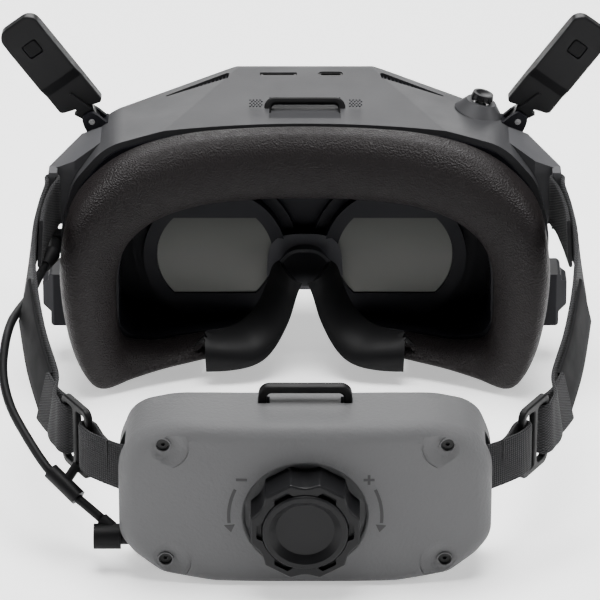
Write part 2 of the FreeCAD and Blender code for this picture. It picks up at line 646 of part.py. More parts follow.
def pack_casings():
    """The rear and the front casing of the pack, both hollow, with the dial's dish and the strap slots cut."""
    outer = biggest(pack_body())
    hollow = pack_body(PACK_WALL)
    dish = rod((0, PACK_REAR_Y - 1, DIAL_Z), (0, 1, 0), DISH_RADIUS, 4.0)
    well = rod((0, PACK_REAR_Y, DIAL_Z), (0, 1, 0), DISH_RADIUS + 2.0, 5.0).cut(dish)
    shaft = rod((0, -125, DIAL_Z), (0, 1, 0), SHAFT_RADIUS + 0.06, 20)
    floor = rod((0, PACK_REAR_Y + 3.0, DIAL_Z), (0, 1, 0), DISH_RADIUS + 2.0, 2.0)
    shell = outer.cut(hollow).fuse(well.common(outer)).fuse(floor).cut(dish).cut(shaft)
    slots = block((60, -104.4, 31.4), (75, -96.6, 52.6))
    shell = shell.cut(slots).cut(mirrored(slots))
    strap_way = leaned(band(REAR_STRAP, WEB_HEIGHT - 0.6, WEB_THICK + 1.0), -PACK_LEAN_DEG)
    shell = shell.cut(strap_way).cut(mirrored(strap_way))
    port = rod((-75, -103.6, 12.0), (1, 0, 0), 3.1, 14)
    shell = shell.cut(port).cut(pack_screw_holes())
    rear = shell.common(block((-90, -130, -5), (90, PACK_SPLIT_Y - 0.05, 80)))
    front = shell.common(block((-90, PACK_SPLIT_Y + 0.05, -5), (90, -70, 80)))
    front = front.cut(bail_feet())
    rear = rear.cut(bail_feet())
    return biggest(rear.removeSplitter()), biggest(front.removeSplitter())


def pack_screw_holes():
    holes = []
    for x, z in PACK_SCREW_AT:
        for side in (-1, 1):
            holes.append(rod((side * x, -125, z), (0, 1, 0), 2.45, SCREW_HEAD_Y + 1.75 + 125))
            holes.append(rod((side * x, -125, z), (0, 1, 0), 1.1, 25))
    return Part.makeCompound(holes)


def pack_screws():
    found = []
    for x, z in PACK_SCREW_AT:
        for side in (-1, 1):
            head = rod((side * x, SCREW_HEAD_Y, z), (0, 1, 0), 2.25, 1.7)
            hexagon = [(side * x + 0.85 * math.cos(math.radians(60 * i)), z + 0.85 * math.sin(math.radians(60 * i)))
                       for i in range(6)]
            head = head.cut(prism_y(hexagon, SCREW_HEAD_Y - 1, SCREW_HEAD_Y + 1.0))
            found.append(head.fuse(rod((side * x, SCREW_HEAD_Y + 1.4, z), (0, 1, 0), 1.0, 9.0)).removeSplitter())
    return Part.makeCompound(found)


def bail_feet():
    return block((-17.2, -99.2, 62), (-12.9, -94.8, 72)).fuse(block((12.9, -99.2, 62), (17.2, -94.8, 72)))


def pack_loop():
    loop = bail(-99.0, PACK_HEIGHT - 1.6, 17.0, 8.6, 3.0, 4.0)
    return loop


def ring_point(radius, degrees):
    a = math.radians(degrees)
    return radius * math.cos(a), DIAL_Z + radius * math.sin(a)


def dial_knob():
    """Hand wheel: six finger scallops with straight lobes between them, and a shallow pocket in each lobe's face."""
    outline = []
    for i in range(6):
        scallop = 90 + 60 * i
        outline.append((*ring_point(DIAL_RADIUS, scallop - 15), 1.2))
        outline.append((*ring_point(DIAL_RADIUS - 2.3, scallop), 9.0))
        outline.append((*ring_point(DIAL_RADIUS, scallop + 15), 1.2))
    rear = PACK_REAR_Y + 2.4
    wheel = prism_y(outline, rear - DIAL_HEIGHT, rear)
    wheel = soften(wheel, 0.9, lambda e: middle(e).y < rear - DIAL_HEIGHT + 0.1)
    seat = rod((0, rear - DIAL_HEIGHT - 1, DIAL_Z), (0, 1, 0), 15.9, 1 + CAP_SEAT)
    wheel = wheel.cut(seat).cut(rod((0, -140, DIAL_Z), (0, 1, 0), SHAFT_RADIUS, 40))
    for i in range(6):
        lobe = 60 + 60 * i
        pocket = [(*ring_point(15.0, lobe - 17), 0), (*ring_point(17.9, lobe - 9), 0.8),
                  (*ring_point(17.9, lobe + 9), 0.8), (*ring_point(15.0, lobe + 17), 0)]
        wheel = wheel.cut(prism_y(pocket, rear - DIAL_HEIGHT - 1, rear - DIAL_HEIGHT + 2.0))
    return biggest(wheel.removeSplitter())


def dial_cap():
    front = PACK_REAR_Y + 2.4 - DIAL_HEIGHT
    cap = rod((0, front - 0.9, DIAL_Z), (0, 1, 0), 15.6, CAP_SEAT + 0.9)
    dish = Part.makeCone(13.3, 10.6, 2.4, V(0, front - 0.9, DIAL_Z), V(0, 1, 0))
    cap = cap.cut(dish)
    cap = cap.cut(rod((0, front + CAP_SEAT - 2.2, DIAL_Z), (0, 1, 0), 4.2, 4))
    return soften(cap, 0.8, lambda e: middle(e).y < front - 0.8 and e.BoundBox.XLength > 30)


def involute_tooth_points(root, tip, base, half_angle_at_pitch):
    """Half-flank radii and angles of an involute tooth, from its root to its tip."""
    def inv(r):
        a = math.acos(min(1.0, base / r))
        return math.tan(a) - a
    pitch_inv = inv(PITCH_RADIUS)
    steps = 5
    found = [(root, half_angle_at_pitch + pitch_inv)]
    for i in range(steps + 1):
        r = base + (tip - base) * i / steps
        found.append((r, half_angle_at_pitch + pitch_inv - inv(r)))
    return found


def dial_pinion():
    """The pinion and shaft that the hand wheel turns, with a tooth at the top and one at the bottom."""
    base = PITCH_RADIUS * math.cos(math.radians(20))
    half = (math.pi * MODULE / 2 - BACKLASH) / 2 / PITCH_RADIUS
    flank = involute_tooth_points(4.65, 6.85, base, half)
    points = []
    for i in range(PINION_TEETH):
        mid = math.pi / 2 - 2 * math.pi * i / PINION_TEETH
        for r, a in flank:
            points.append((r * math.cos(mid + a), DIAL_Z + r * math.sin(mid + a)))
        for r, a in reversed(flank):
            points.append((r * math.cos(mid - a), DIAL_Z + r * math.sin(mid - a)))
    gear = prism_y(points, *GEAR_Y)
    end = PACK_REAR_Y + 2.4 - DIAL_HEIGHT + CAP_SEAT
    shaft = rod((0, end, DIAL_Z), (0, 1, 0), SHAFT_RADIUS, GEAR_Y[1] + 3.0 - end)
    collar = rod((0, -112.6, DIAL_Z), (0, 1, 0), 4.2, 112.6 + GEAR_Y[0])
    whole = gear.fuse(shaft).fuse(collar).cut(rod((0, end, DIAL_Z), (0, 1, 0), 0.85, 9.0))
    return biggest(whole.removeSplitter())


def dial_screw():
    end = PACK_REAR_Y + 2.4 - DIAL_HEIGHT + CAP_SEAT
    washer = rod((0, end - 1.0, DIAL_Z), (0, 1, 0), 3.6, 1.0)
    head = rod((0, end - 1.8, DIAL_Z), (0, 1, 0), 2.2, 0.9)
    shank = rod((0, end - 1.0, DIAL_Z), (0, 1, 0), 0.85, 8.0)
    return washer.fuse(head).fuse(shank).removeSplitter()


def rack(upper):
    """A toothed band with the strap clamp at its outer end. The upper one pulls the left strap, the lower the right."""
    sign = 1 if upper else -1
    pitch_line = DIAL_Z + sign * PITCH_RADIUS
    pitch = math.pi * MODULE
    teeth = []
    lean = math.tan(math.radians(20))
    half = (pitch / 2 - BACKLASH) / 2
    low, high = RACK_ADDENDUM, -1.15
    for i in range(-5, 6):
        centre = (i + 0.5) * pitch
        tip = half - low * lean
        root = half - high * lean
        teeth.append(prism_y([(centre - root, pitch_line - sign * high), (centre - tip, pitch_line - sign * low),
                              (centre + tip, pitch_line - sign * low), (centre + root, pitch_line - sign * high)],
                             *GEAR_Y))
    z_root = pitch_line + sign * 1.1
    z_back = pitch_line + sign * 4.4
    x_out = -sign * 52.0
    x_in = sign * 18.0
    bar = block((min(x_out, x_in), GEAR_Y[0], min(z_root, z_back)), (max(x_out, x_in), GEAR_Y[1], max(z_root, z_back)))
    clamp = block((min(x_out, x_out + sign * 5), GEAR_Y[0], min(z_root, 33.5)),
                  (max(x_out, x_out + sign * 5), GEAR_Y[1], 51.5))
    return biggest(bar.multiFuse(teeth + [clamp]).removeSplitter())


def cell(side):
    """One flat lithium cell, beside the gear."""
    body = prism_y([(side * 24.0, 42.4, 1.5), (side * 24.0, 61.0, 1.5), (side * 4.0, 61.0, 1.5), (side * 4.0, 42.4, 1.5)],
                   -110.5, -97.5)
    return body


def pack_board():
    return block((-46, -112.4, 6.0), (46, -111.2, 14.5))


def rear_pad():
    """The soft pad on the head side of the pack."""
    skin = prism_y(both_sides([(0, 59), (44, 59, 20), (58, 46, 16), (58, 20, 14), (46, 9, 10), (0, 9)]), -95, -70)
    reach = pack_body().translated(V(0, 5.5, 0)).cut(pack_body().translated(V(0, 0.15, 0)))
    return biggest(skin.common(reach).common(block((-60, -92, 0), (60, -78, 70))))


# ---------------------------------------------------------------- power lead
def lead_path(points):
    """Straight runs joined by tangent arcs, each as large as its two runs allow. Returns the wire and the radii."""
    edges, radii = [], []
    last = V(*points[0])
    for i in range(1, len(points) - 1):
        corner = V(*points[i])
        to_last = V(*points[i - 1]) - corner
        to_next = V(*points[i + 1]) - corner
        short = min(to_last.Length, to_next.Length)
        to_last.normalize()
        to_next.normalize()
        turn = math.pi - math.acos(max(-1.0, min(1.0, to_last.dot(to_next))))
        cut = 0.45 * short
        radius = cut / math.tan(turn / 2)
        inwards = to_last + to_next
        inwards.normalize()
        centre = corner + inwards * (radius / math.cos(turn / 2))
        start, end = corner + to_last * cut, corner + to_next * cut
        edges.append(Part.LineSegment(last, start).toShape())
        edges.append(Part.Arc(start, centre - inwards * radius, end).toShape())
        radii.append(radius)
        last = end
    edges.append(Part.LineSegment(last, V(*points[-1])).toShape())
    return Part.Wire(edges), radii


def lead_tube(radius):
    wire = lead_path(LEAD_ROUTE)[0]
    start = V(*LEAD_ROUTE[0])
    circle = Part.Wire([Part.makeCircle(radius, start, V(*LEAD_ROUTE[1]) - start)])
    return wire.makePipeShell([circle], True, True)


def lead():
    wire, radii = lead_path(LEAD_ROUTE)
    tube = lead_tube(LEAD_RADIUS)
    expected = math.pi * LEAD_RADIUS ** 2 * wire.Length
    print("lead length %.1f, volume share %.4f, radii %s" % (
        wire.Length, tube.Volume / expected, " ".join("%.0f" % r for r in radii)))
    return tube


def lead_plug():
    """The plug and tapered strain relief at the casing's left side."""
    end = V(*LEAD_ROUTE[0])
    along = end - V(*LEAD_ROUTE[1])
    along.normalize()
    relief = Part.makeCone(2.4, 3.6, 9.0, end, along)
    boot = Part.makeCylinder(3.6, 10.4, V(-99.1, 49.2, 56.4), V(0.02, 1.0, 0.0))
    plug = block((-101.4, 59.2, 52.6), (-90.0, 66.0, 60.2))
    whole = relief.fuse(boot).fuse(plug)
    return biggest(whole.cut(casing_body(0.0, 100)).removeSplitter())


def lead_elbow():
    """The right-angle barrel at the pack's left side, which the lead leaves upwards."""
    barrel = rod((-77.6, -103.6, 12.0), (1, 0, 0), 4.7, 10.0).fuse(rod((-68.6, -103.6, 12.0), (1, 0, 0), 3.0, 7.0))
    barrel = leaned(barrel)
    end = V(*LEAD_ROUTE[-1])
    inwards = end - V(*LEAD_ROUTE[-2])
    inwards.normalize()
    neck = Part.makeCylinder(2.4, 5.0, end, inwards)
    return biggest(barrel.fuse(neck).removeSplitter())


def lead_clip(buckle, tube):
    """The clip that hangs the lead under the left buckle."""
    start, end = V(*LEAD_ROUTE[9]), V(*LEAD_ROUTE[11])
    along = end - start
    sleeve = Part.makeCylinder(3.1, along.Length * 0.66, start + along * 0.17, along)
    hanger = Part.makeCylinder(1.8, 8.6, V(-88.6, -92.4, 28.4), V(0.55, 0.42, 0.72))
    bore = lead_tube(LEAD_RADIUS + 0.05)
    return biggest(sleeve.fuse(hanger).cut(buckle).cut(bore).removeSplitter())


# ---------------------------------------------------------------- assembly
def build():
    parts = {}
    casing, outer = front_casing()
    cover, pocket = visor(outer)
    casing = casing.cut(pocket).cut(port_cuts())
    casing = casing.cut(vent_pocket()).cut(mirrored(vent_pocket())).cut(loop_recess()).cut(top_loop())
    frame = face_frame().cut(screw_holes())
    casing = biggest(casing)
    parts["front_casing"] = casing
    parts["visor_cover"] = cover
    parts["face_frame"] = biggest(frame)
    parts["nose_bridge"] = nose_bridge()
    parts["lens_left"] = lens(-1)
    parts["lens_right"] = lens(1)
    parts["lens_retainers"] = Part.makeCompound([lens_retainer(-1), lens_retainer(1)])
    parts["optics_tunnel"] = optics_tunnel()
    parts["display_panel"] = display()
    parts["main_board"] = main_board()
    parts["heat_sink"] = heat_sink()
    parts["fan_housing"] = fan_housing()
    parts["fan_rotor"] = fan_rotor()
    parts["vent_grilles"] = Part.makeCompound([vent_grille(), mirrored(vent_grille())])
    parts["top_strap_loop"] = top_loop()
    parts["usb_socket"] = usb_socket()
    parts["card_slot"] = card_slot()
    parts["frame_screws"] = casing_screws()
    parts["face_pad"] = face_pad()
    parts["nose_flap_right"] = biggest(nose_flap().cut(parts["nose_bridge"]))
    parts["nose_flap_left"] = mirrored(parts["nose_flap_right"])
    add_strap_pieces(parts)
    add_antennas_and_stick(parts)
    add_pack(parts)
    return parts


def add_strap_pieces(parts):
    parts["strap_arm_right"] = strap_arm()
    parts["side_bracket_right"] = side_bracket()
    parts["side_strap_right"] = side_strap()
    parts["buckle_right"] = set_buckle(buckle_frame())
    parts["rear_strap_right"] = rear_strap()
    for name in list(parts):
        if name.endswith("_right") and name[:-6] + "_left" not in parts:
            parts[name[:-6] + "_left"] = mirrored(parts[name])
    parts["strap_tabs"] = Part.makeCompound([strap_tab(), mirrored(strap_tab())])
    parts["power_lead"] = lead()
    parts["lead_plug"] = lead_plug()
    parts["lead_elbow"] = lead_elbow()
    parts["lead_clip"] = lead_clip(parts["buckle_left"], parts["power_lead"])


def add_antennas_and_stick(parts):
    wide_hole = upright(block((-5.02, -4.42, -12), (5.02, 4.42, -3.5)), PIVOT)
    parts["antenna_bracket_right"] = upright(antenna_bracket(), PIVOT)
    pin = upright(antenna_pin(), PIVOT)
    parts["antenna_pins"] = Part.makeCompound([pin, mirrored(pin)])
    parts["antenna_blade_right"] = upright(antenna_blade(), PIVOT)
    parts["antenna_plug_right"] = upright(antenna_plug(), PIVOT)
    for piece in ("bracket", "blade", "plug"):
        parts["antenna_%s_left" % piece] = mirrored(parts["antenna_%s_right" % piece])
    casing = parts["front_casing"].cut(wide_hole).cut(mirrored(wide_hole))
    casing = casing.cut(parts["antenna_bracket_right"]).cut(parts["antenna_bracket_left"])
    casing = casing.cut(stick_place(rod((0, 0, -9), (0, 0, 1), 5.6, 9)))
    parts["front_casing"] = biggest(casing)
    collar = stick_place(stick_collar())
    parts["stick_collar"] = biggest(collar.cut(casing_body(0.0, 0.0).cut(stick_place(rod((0, 0, -9), (0, 0, 1), 5.6, 9)))))
    parts["stick_gimbal"] = stick_place(stick_gimbal())
    parts["stick_stem"] = stick_place(stick_stem())
    parts["stick_cap"] = stick_place(stick_cap())


def add_pack(parts):
    rear, front = pack_casings()
    pieces = {"pack_rear_casing": rear, "pack_front_casing": front, "pack_screws": pack_screws(),
              "pack_strap_loop": pack_loop(), "dial_wheel": dial_knob(), "dial_cap": dial_cap(),
              "dial_pinion": dial_pinion(), "dial_screw": dial_screw(), "rack_left": rack(True),
              "rack_right": rack(False), "battery_cells": Part.makeCompound([cell(-1), cell(1)]),
              "pack_board": pack_board(), "head_pad": rear_pad()}
    for name, shape in pieces.items():
        parts[name] = leaned(shape)


def export(parts):
    os.makedirs("parts", exist_ok=True)
    whole = FreeCAD.BoundBox()
    for name, shape in parts.items():
        shape = shape.copy()
        shape.translate(V(0, -ORIGIN_Y, 0))
        good = shape.isValid() and all(s.isClosed() for s in shape.Solids)
        print("%-20s solids %d volume %9.1f %s" % (name, len(shape.Solids), shape.Volume, "" if good else "BAD"))
        shape.exportStep("parts/%s.step" % name)
        whole.add(shape.BoundBox)
    print("bounds", whole)


if __name__ == "__main__":
    export(build())
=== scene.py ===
"""Looks for a pair of drone pilot's goggles: soft pieces, finishes, and the pieces whose shape is finest."""

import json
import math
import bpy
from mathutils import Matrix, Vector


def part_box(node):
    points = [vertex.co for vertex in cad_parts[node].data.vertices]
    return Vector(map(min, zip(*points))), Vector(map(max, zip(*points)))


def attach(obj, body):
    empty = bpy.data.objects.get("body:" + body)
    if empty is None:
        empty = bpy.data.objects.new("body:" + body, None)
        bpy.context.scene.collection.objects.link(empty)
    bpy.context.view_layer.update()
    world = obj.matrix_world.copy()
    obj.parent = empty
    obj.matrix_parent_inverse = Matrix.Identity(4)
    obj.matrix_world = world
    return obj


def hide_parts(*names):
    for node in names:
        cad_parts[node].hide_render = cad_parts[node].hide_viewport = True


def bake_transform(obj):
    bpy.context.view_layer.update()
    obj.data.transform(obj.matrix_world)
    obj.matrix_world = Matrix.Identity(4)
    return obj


bl_info = {
    "name": "Drone Goggles Maker",
    "version": (1, 0, 0),
    "blender": (4, 5, 0),
    "location": "View3D > Sidebar > Goggles",
    "description": "Makes the soft pieces, mouldings and finishes of drone goggles around their packed frame",
    "category": "Object",
}

import bmesh
import bpy
from mathutils import Matrix, Vector

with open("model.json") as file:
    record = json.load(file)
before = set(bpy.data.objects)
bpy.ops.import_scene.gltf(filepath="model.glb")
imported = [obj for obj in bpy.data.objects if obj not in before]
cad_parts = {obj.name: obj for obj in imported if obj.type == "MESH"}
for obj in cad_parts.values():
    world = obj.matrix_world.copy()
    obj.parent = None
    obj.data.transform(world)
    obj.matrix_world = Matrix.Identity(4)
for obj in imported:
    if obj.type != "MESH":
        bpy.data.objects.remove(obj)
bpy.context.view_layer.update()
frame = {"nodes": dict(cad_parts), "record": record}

MM = 0.001
DRAFT_SHIFT_Y = 0.85  # millimetres from the drafting frame of the sizes below to the part's own frame


# ------------------------------------------------------------------ places and curves
def at(x, y, z):
    """A point in millimetres of the drafting frame, as a vector in metres of the part's frame."""
    return Vector((x * MM, (y + DRAFT_SHIFT_Y) * MM, z * MM))


def smooth_step(value):
    value = max(0.0, min(1.0, value))
    return value * value * (3 - 2 * value)


def mix(a, b, share):
    return a + (b - a) * share


def spline(keys, share):
    """A point on the smooth curve through the keys, tuples of numbers spaced evenly from 0 to 1."""
    last = len(keys) - 1
    place = max(0.0, min(1.0, share)) * last
    i = min(int(place), last - 1)
    t = place - i
    before, start = keys[max(i - 1, 0)], keys[i]
    end, after = keys[i + 1], keys[min(i + 2, last)]
    found = []
    for a, b, c, d in zip(before, start, end, after):
        found.append(0.5 * (2 * b + (c - a) * t + (2 * a - 5 * b + 4 * c - d) * t * t
                            + (3 * b - a - 3 * c + d) * t ** 3))
    return tuple(found)


def even_curve(keys, count):
    """count + 1 points along the smooth curve through the keys, evenly spaced by length."""
    fine = [Vector(spline(keys, i / (count * 8))) for i in range(count * 8 + 1)]
    reach = [0.0]
    for a, b in zip(fine, fine[1:]):
        reach.append(reach[-1] + (b - a).length)
    points, place = [], 0
    for i in range(count + 1):
        wanted = reach[-1] * i / count
        while place < len(fine) - 2 and reach[place + 1] < wanted:
            place += 1
        span = max(reach[place + 1] - reach[place], 1e-9)
        points.append(fine[place].lerp(fine[place + 1], (wanted - reach[place]) / span))
    return points


# ------------------------------------------------------------------ mesh helpers
def new_object(name, mesh):
    found = bpy.data.objects.new(name, mesh)
    bpy.context.scene.collection.objects.link(found)
    return found


def mesh_object(name, points, faces, uvs=None, smooth=True):
    """An object from points, faces and, if given, one UV pair per point of each face."""
    mesh = bpy.data.meshes.new(name)
    mesh.from_pydata([tuple(p) for p in points], [], faces)
    if uvs:
        layer = mesh.uv_layers.new(name="UVMap")
        for loop, pair in zip(layer.data, (pair for face in uvs for pair in face)):
            loop.uv = pair
    mesh.update()
    for polygon in mesh.polygons:
        polygon.use_smooth = smooth
    return new_object(name, mesh)


def outwards(piece):
    """Welds doubled points and turns every face outwards."""
    work = bmesh.new()
    work.from_mesh(piece.data)
    bmesh.ops.remove_doubles(work, verts=work.verts, dist=1e-6)
    bmesh.ops.recalc_face_normals(work, faces=work.faces)
    work.to_mesh(piece.data)
    work.free()
    return piece


def finish_mesh(piece):
    """Turns a piece's live modifiers into its own plain mesh."""
    bpy.context.view_layer.update()
    done = bpy.data.meshes.new_from_object(piece.evaluated_get(bpy.context.evaluated_depsgraph_get()))
    piece.modifiers.clear()
    piece.data = done
    return piece


def joined(name, pieces):
    """One mesh object from several."""
    work = bmesh.new()
    for piece in pieces:
        work.from_mesh(piece.data)
    mesh = bpy.data.meshes.new(name)
    work.to_mesh(mesh)
    work.free()
    for piece in pieces:
        bpy.data.objects.remove(piece)
    return new_object(name, mesh)


def mirror_piece(piece, name):
    """A copy of a piece on the other side of the goggles."""
    mesh = piece.data.copy()
    mesh.transform(Matrix.Scale(-1, 4, (1, 0, 0)))
    mesh.flip_normals()
    return new_object(name, mesh)


def paint(piece, material):
    piece.data.materials.clear()
    piece.data.materials.append(material)
    return piece


def crease_by_angle(piece, degrees=35):
    piece.data.set_sharp_from_angle(angle=math.radians(degrees))
    return piece


def fitted(piece, body, *nodes, slot=None):
    """Hands a finished piece over: the body it rides on and the CAD nodes it stands for. Its slot is not used.
    """
    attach(piece, body)
    if nodes:
        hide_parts(*nodes)
    return piece


def tube(name, points, radius, sides):
    """A closed round tube through points."""
    found, faces = [], []
    last = len(points) - 1
    normal = None
    for i, p in enumerate(points):
        along = (points[min(i + 1, last)] - points[max(i - 1, 0)]).normalized()
        if normal is None:
            normal = along.orthogonal().normalized()
        else:
            normal = (normal - along * normal.dot(along)).normalized()
        side = along.cross(normal)
        for k in range(sides):
            a = 2 * math.pi * k / sides
            found.append(p + (normal * math.cos(a) + side * math.sin(a)) * radius)
    for i in range(last):
        for k in range(sides):
            a, b = i * sides + k, i * sides + (k + 1) % sides
            faces.append((a, b, b + sides, a + sides))
    faces.append(tuple(reversed(range(sides))))
    faces.append(tuple(range(last * sides, (last + 1) * sides)))
    return outwards(mesh_object(name, found, faces))


def sheet_piece(name, rows, thickness, offset):
    """A closed moulding of even thickness from rows of points on one of its surfaces."""
    across = len(rows[0])
    faces = []
    for i in range(len(rows) - 1):
        for k in range(across - 1):
            a = i * across + k
            faces.append((a, a + 1, a + 1 + across, a + across))
    piece = mesh_object(name, [p for row in rows for p in row], faces)
    solid = piece.modifiers.new("thick", "SOLIDIFY")
    solid.thickness, solid.offset, solid.use_even_offset = thickness, offset, True
    finish_mesh(piece)
    return crease_by_angle(outwards(piece), 50)


# ------------------------------------------------------------------ repeated small shapes, by Geometry Nodes
ARRAY_INPUTS = (("Count Along", "NodeSocketInt", 8), ("Count Across", "NodeSocketInt", 1),
                ("Spacing Along", "NodeSocketFloat", 0.002), ("Spacing Across", "NodeSocketFloat", 0.002),
                ("Stagger", "NodeSocketFloat", 0.0), ("Sides", "NodeSocketInt", 6),
                ("Base Radius", "NodeSocketFloat", 0.0007), ("Top Radius", "NodeSocketFloat", 0.0007),
                ("Height", "NodeSocketFloat", 0.0004), ("Stretch", "NodeSocketVector", (1.0, 1.0, 1.0)),
                ("Turn Wander", "NodeSocketFloat", 0.0), ("Seed", "NodeSocketInt", 7),
                ("Material", "NodeSocketMaterial", None))


def array_tree():
    """A node tree that sets out small prisms or cones in staggered rows on the XY plane."""
    tree = bpy.data.node_groups.new("small_shape_array", "GeometryNodeTree")
    for name, kind, value in ARRAY_INPUTS:
        socket = tree.interface.new_socket(name=name, in_out="INPUT", socket_type=kind)
        if value is not None:
            socket.default_value = value
    tree.interface.new_socket(name="Geometry", in_out="OUTPUT", socket_type="NodeSocketGeometry")

    def node(kind, **values):
        made = tree.nodes.new(kind)
        for key, value in values.items():
            setattr(made, key, value)
        return made

    def math_node(operation, a, b):
        made = node("ShaderNodeMath", operation=operation)
        for i, value in enumerate((a, b)):
            if isinstance(value, (int, float)):
                made.inputs[i].default_value = value
            else:
                tree.links.new(value, made.inputs[i])
        return made.outputs[0]

    given = node("NodeGroupInput").outputs
    grid = node("GeometryNodeMeshGrid")
    for key, way in (("Size X", "Along"), ("Size Y", "Across")):
        gaps = math_node("SUBTRACT", given["Count " + way], 1)
        tree.links.new(math_node("MULTIPLY", gaps, given["Spacing " + way]), grid.inputs[key])
    tree.links.new(given["Count Along"], grid.inputs["Vertices X"])
    tree.links.new(given["Count Across"], grid.inputs["Vertices Y"])
    index = node("GeometryNodeInputIndex").outputs[0]
    row = math_node("MODULO", index, given["Count Across"])
    odd = math_node("MODULO", row, 2)
    shift = node("ShaderNodeCombineXYZ")
    tree.links.new(math_node("MULTIPLY", odd, given["Stagger"]), shift.inputs["X"])
    moved = node("GeometryNodeSetPosition")
    tree.links.new(grid.outputs["Mesh"], moved.inputs["Geometry"])
    tree.links.new(shift.outputs[0], moved.inputs["Offset"])
    shape = node("GeometryNodeMeshCone")
    for key, name in (("Vertices", "Sides"), ("Radius Bottom", "Base Radius"), ("Radius Top", "Top Radius"),
                      ("Depth", "Height")):
        tree.links.new(given[name], shape.inputs[key])
    wander = node("FunctionNodeRandomValue")
    tree.links.new(math_node("MULTIPLY", given["Turn Wander"], -1), wander.inputs[2])
    tree.links.new(given["Turn Wander"], wander.inputs[3])
    tree.links.new(given["Seed"], wander.inputs["Seed"])
    turn = node("ShaderNodeCombineXYZ")
    tree.links.new(wander.outputs[1], turn.inputs["Z"])
    placed = node("GeometryNodeInstanceOnPoints")
    tree.links.new(moved.outputs[0], placed.inputs["Points"])
    tree.links.new(shape.outputs["Mesh"], placed.inputs["Instance"])
    tree.links.new(turn.outputs[0], placed.inputs["Rotation"])
    tree.links.new(given["Stretch"], placed.inputs["Scale"])
    real = node("GeometryNodeRealizeInstances")
    tree.links.new(placed.outputs[0], real.inputs[0])
    coloured = node("GeometryNodeSetMaterial")
    tree.links.new(real.outputs[0], coloured.inputs["Geometry"])
    tree.links.new(given["Material"], coloured.inputs["Material"])
    tree.links.new(coloured.outputs[0], node("NodeGroupOutput").inputs[0])
    return tree


def small_array(name, placing, **values):
    """Sets out one array of small shapes and moves its plain mesh into place with a matrix."""
    tree = bpy.data.node_groups.get("small_shape_array") or array_tree()
    piece = new_object(name, bpy.data.meshes.new(name))
    array = piece.modifiers.new("array", "NODES")
    array.node_group = tree
    keys = {item.name: item.identifier for item in tree.interface.items_tree if item.in_out == "INPUT"}
    for key, value in values.items():
        array[keys[key.replace("_", " ")]] = value
    finish_mesh(piece)
    piece.data.transform(placing)
    return piece


def placing(origin, along, up):
    """A matrix that puts the XY plane at an origin, with its X axis along and its Z axis up."""
    z = up.normalized()
    x = (along - z * along.dot(z)).normalized()
    found = Matrix((x, z.cross(x), z)).transposed().to_4x4()
    found.translation = origin
    return found


# ------------------------------------------------------------------ materials
class Finish:
    """A small helper that builds one procedural material from shader nodes."""

    def __init__(self, name, colour, roughness, metallic=0.0):
        self.material = bpy.data.materials.new(name)
        self.material.use_nodes = True
        self.tree = self.material.node_tree
        self.shader = self.tree.nodes["Principled BSDF"]
        self.shader.inputs["Base Color"].default_value = (*colour, 1)
        self.shader.inputs["Roughness"].default_value = roughness
        self.shader.inputs["Metallic"].default_value = metallic
        self.height = None

    def node(self, kind, **values):
        made = self.tree.nodes.new(kind)
        for key, value in values.items():
            if key in made.inputs:
                made.inputs[key].default_value = value
            else:
                setattr(made, key, value)
        return made

    def link(self, out, into):
        self.tree.links.new(out, into)

    def places(self, scale=(1, 1, 1)):
        source = self.node("ShaderNodeTexCoord")
        mapping = self.node("ShaderNodeMapping")
        mapping.inputs["Scale"].default_value = scale
        self.link(source.outputs["Object"], mapping.inputs["Vector"])
        return mapping.outputs["Vector"]

    def noise(self, scale, detail, stretch=(1, 1, 1)):
        made = self.node("ShaderNodeTexNoise", Scale=scale, Detail=detail, Roughness=0.55)
        self.link(self.places(stretch), made.inputs["Vector"])
        return made.outputs["Fac"]

    def cells(self, scale):
        made = self.node("ShaderNodeTexVoronoi", Scale=scale, feature="F1")
        self.link(self.places(), made.inputs["Vector"])
        return made.outputs["Distance"]

    def math(self, operation, *values):
        made = self.node("ShaderNodeMath", operation=operation)
        for i, value in enumerate(values):
            if isinstance(value, (int, float)):
                made.inputs[i].default_value = value
            else:
                self.link(value, made.inputs[i])
        return made.outputs[0]

    def spread(self, value, low, high, start=0.0, end=1.0):
        made = self.node("ShaderNodeMapRange")
        self.link(value, made.inputs["Value"])
        for key, number in (("From Min", start), ("From Max", end), ("To Min", low), ("To Max", high)):
            made.inputs[key].default_value = number
        return made.outputs["Result"]

    def bump(self, value, depth, strength=1.0):
        """Adds relief of a real depth, in metres, on top of any there already."""
        made = self.node("ShaderNodeBump", Strength=strength, Distance=depth)
        self.link(value, made.inputs["Height"])
        if self.height is not None:
            self.link(self.height, made.inputs["Normal"])
        self.height = made.outputs["Normal"]
        self.link(self.height, self.shader.inputs["Normal"])

    def rough(self, value, low, high, start=0.0, end=1.0):
        self.link(self.spread(value, low, high, start, end), self.shader.inputs["Roughness"])

    def shade(self, value, dark, light, start=0.0, end=1.0):
        """Colours the piece from dark to light by a value."""
        made = self.node("ShaderNodeMix", data_type="RGBA")
        self.link(self.spread(value, 0.0, 1.0, start, end), made.inputs["Factor"])
        made.inputs[6].default_value = (*dark, 1)
        made.inputs[7].default_value = (*light, 1)
        self.link(made.outputs[2], self.shader.inputs["Base Color"])

    def set(self, **values):
        for key, value in values.items():
            self.shader.inputs[key.replace("_", " ")].default_value = value


def moulded_plastic(name, colour, roughness, grain, depth):
    """Spark-textured plastic: a fine even grain, with a slow drift in its gloss."""
    made = Finish(name, colour, roughness)
    made.rough(made.noise(60.0, 4.0), roughness - 0.04, roughness + 0.04, 0.3, 0.7)
    made.bump(made.noise(grain, 2.0), depth)
    made.set(Specular_IOR_Level=0.15)
    return made.material


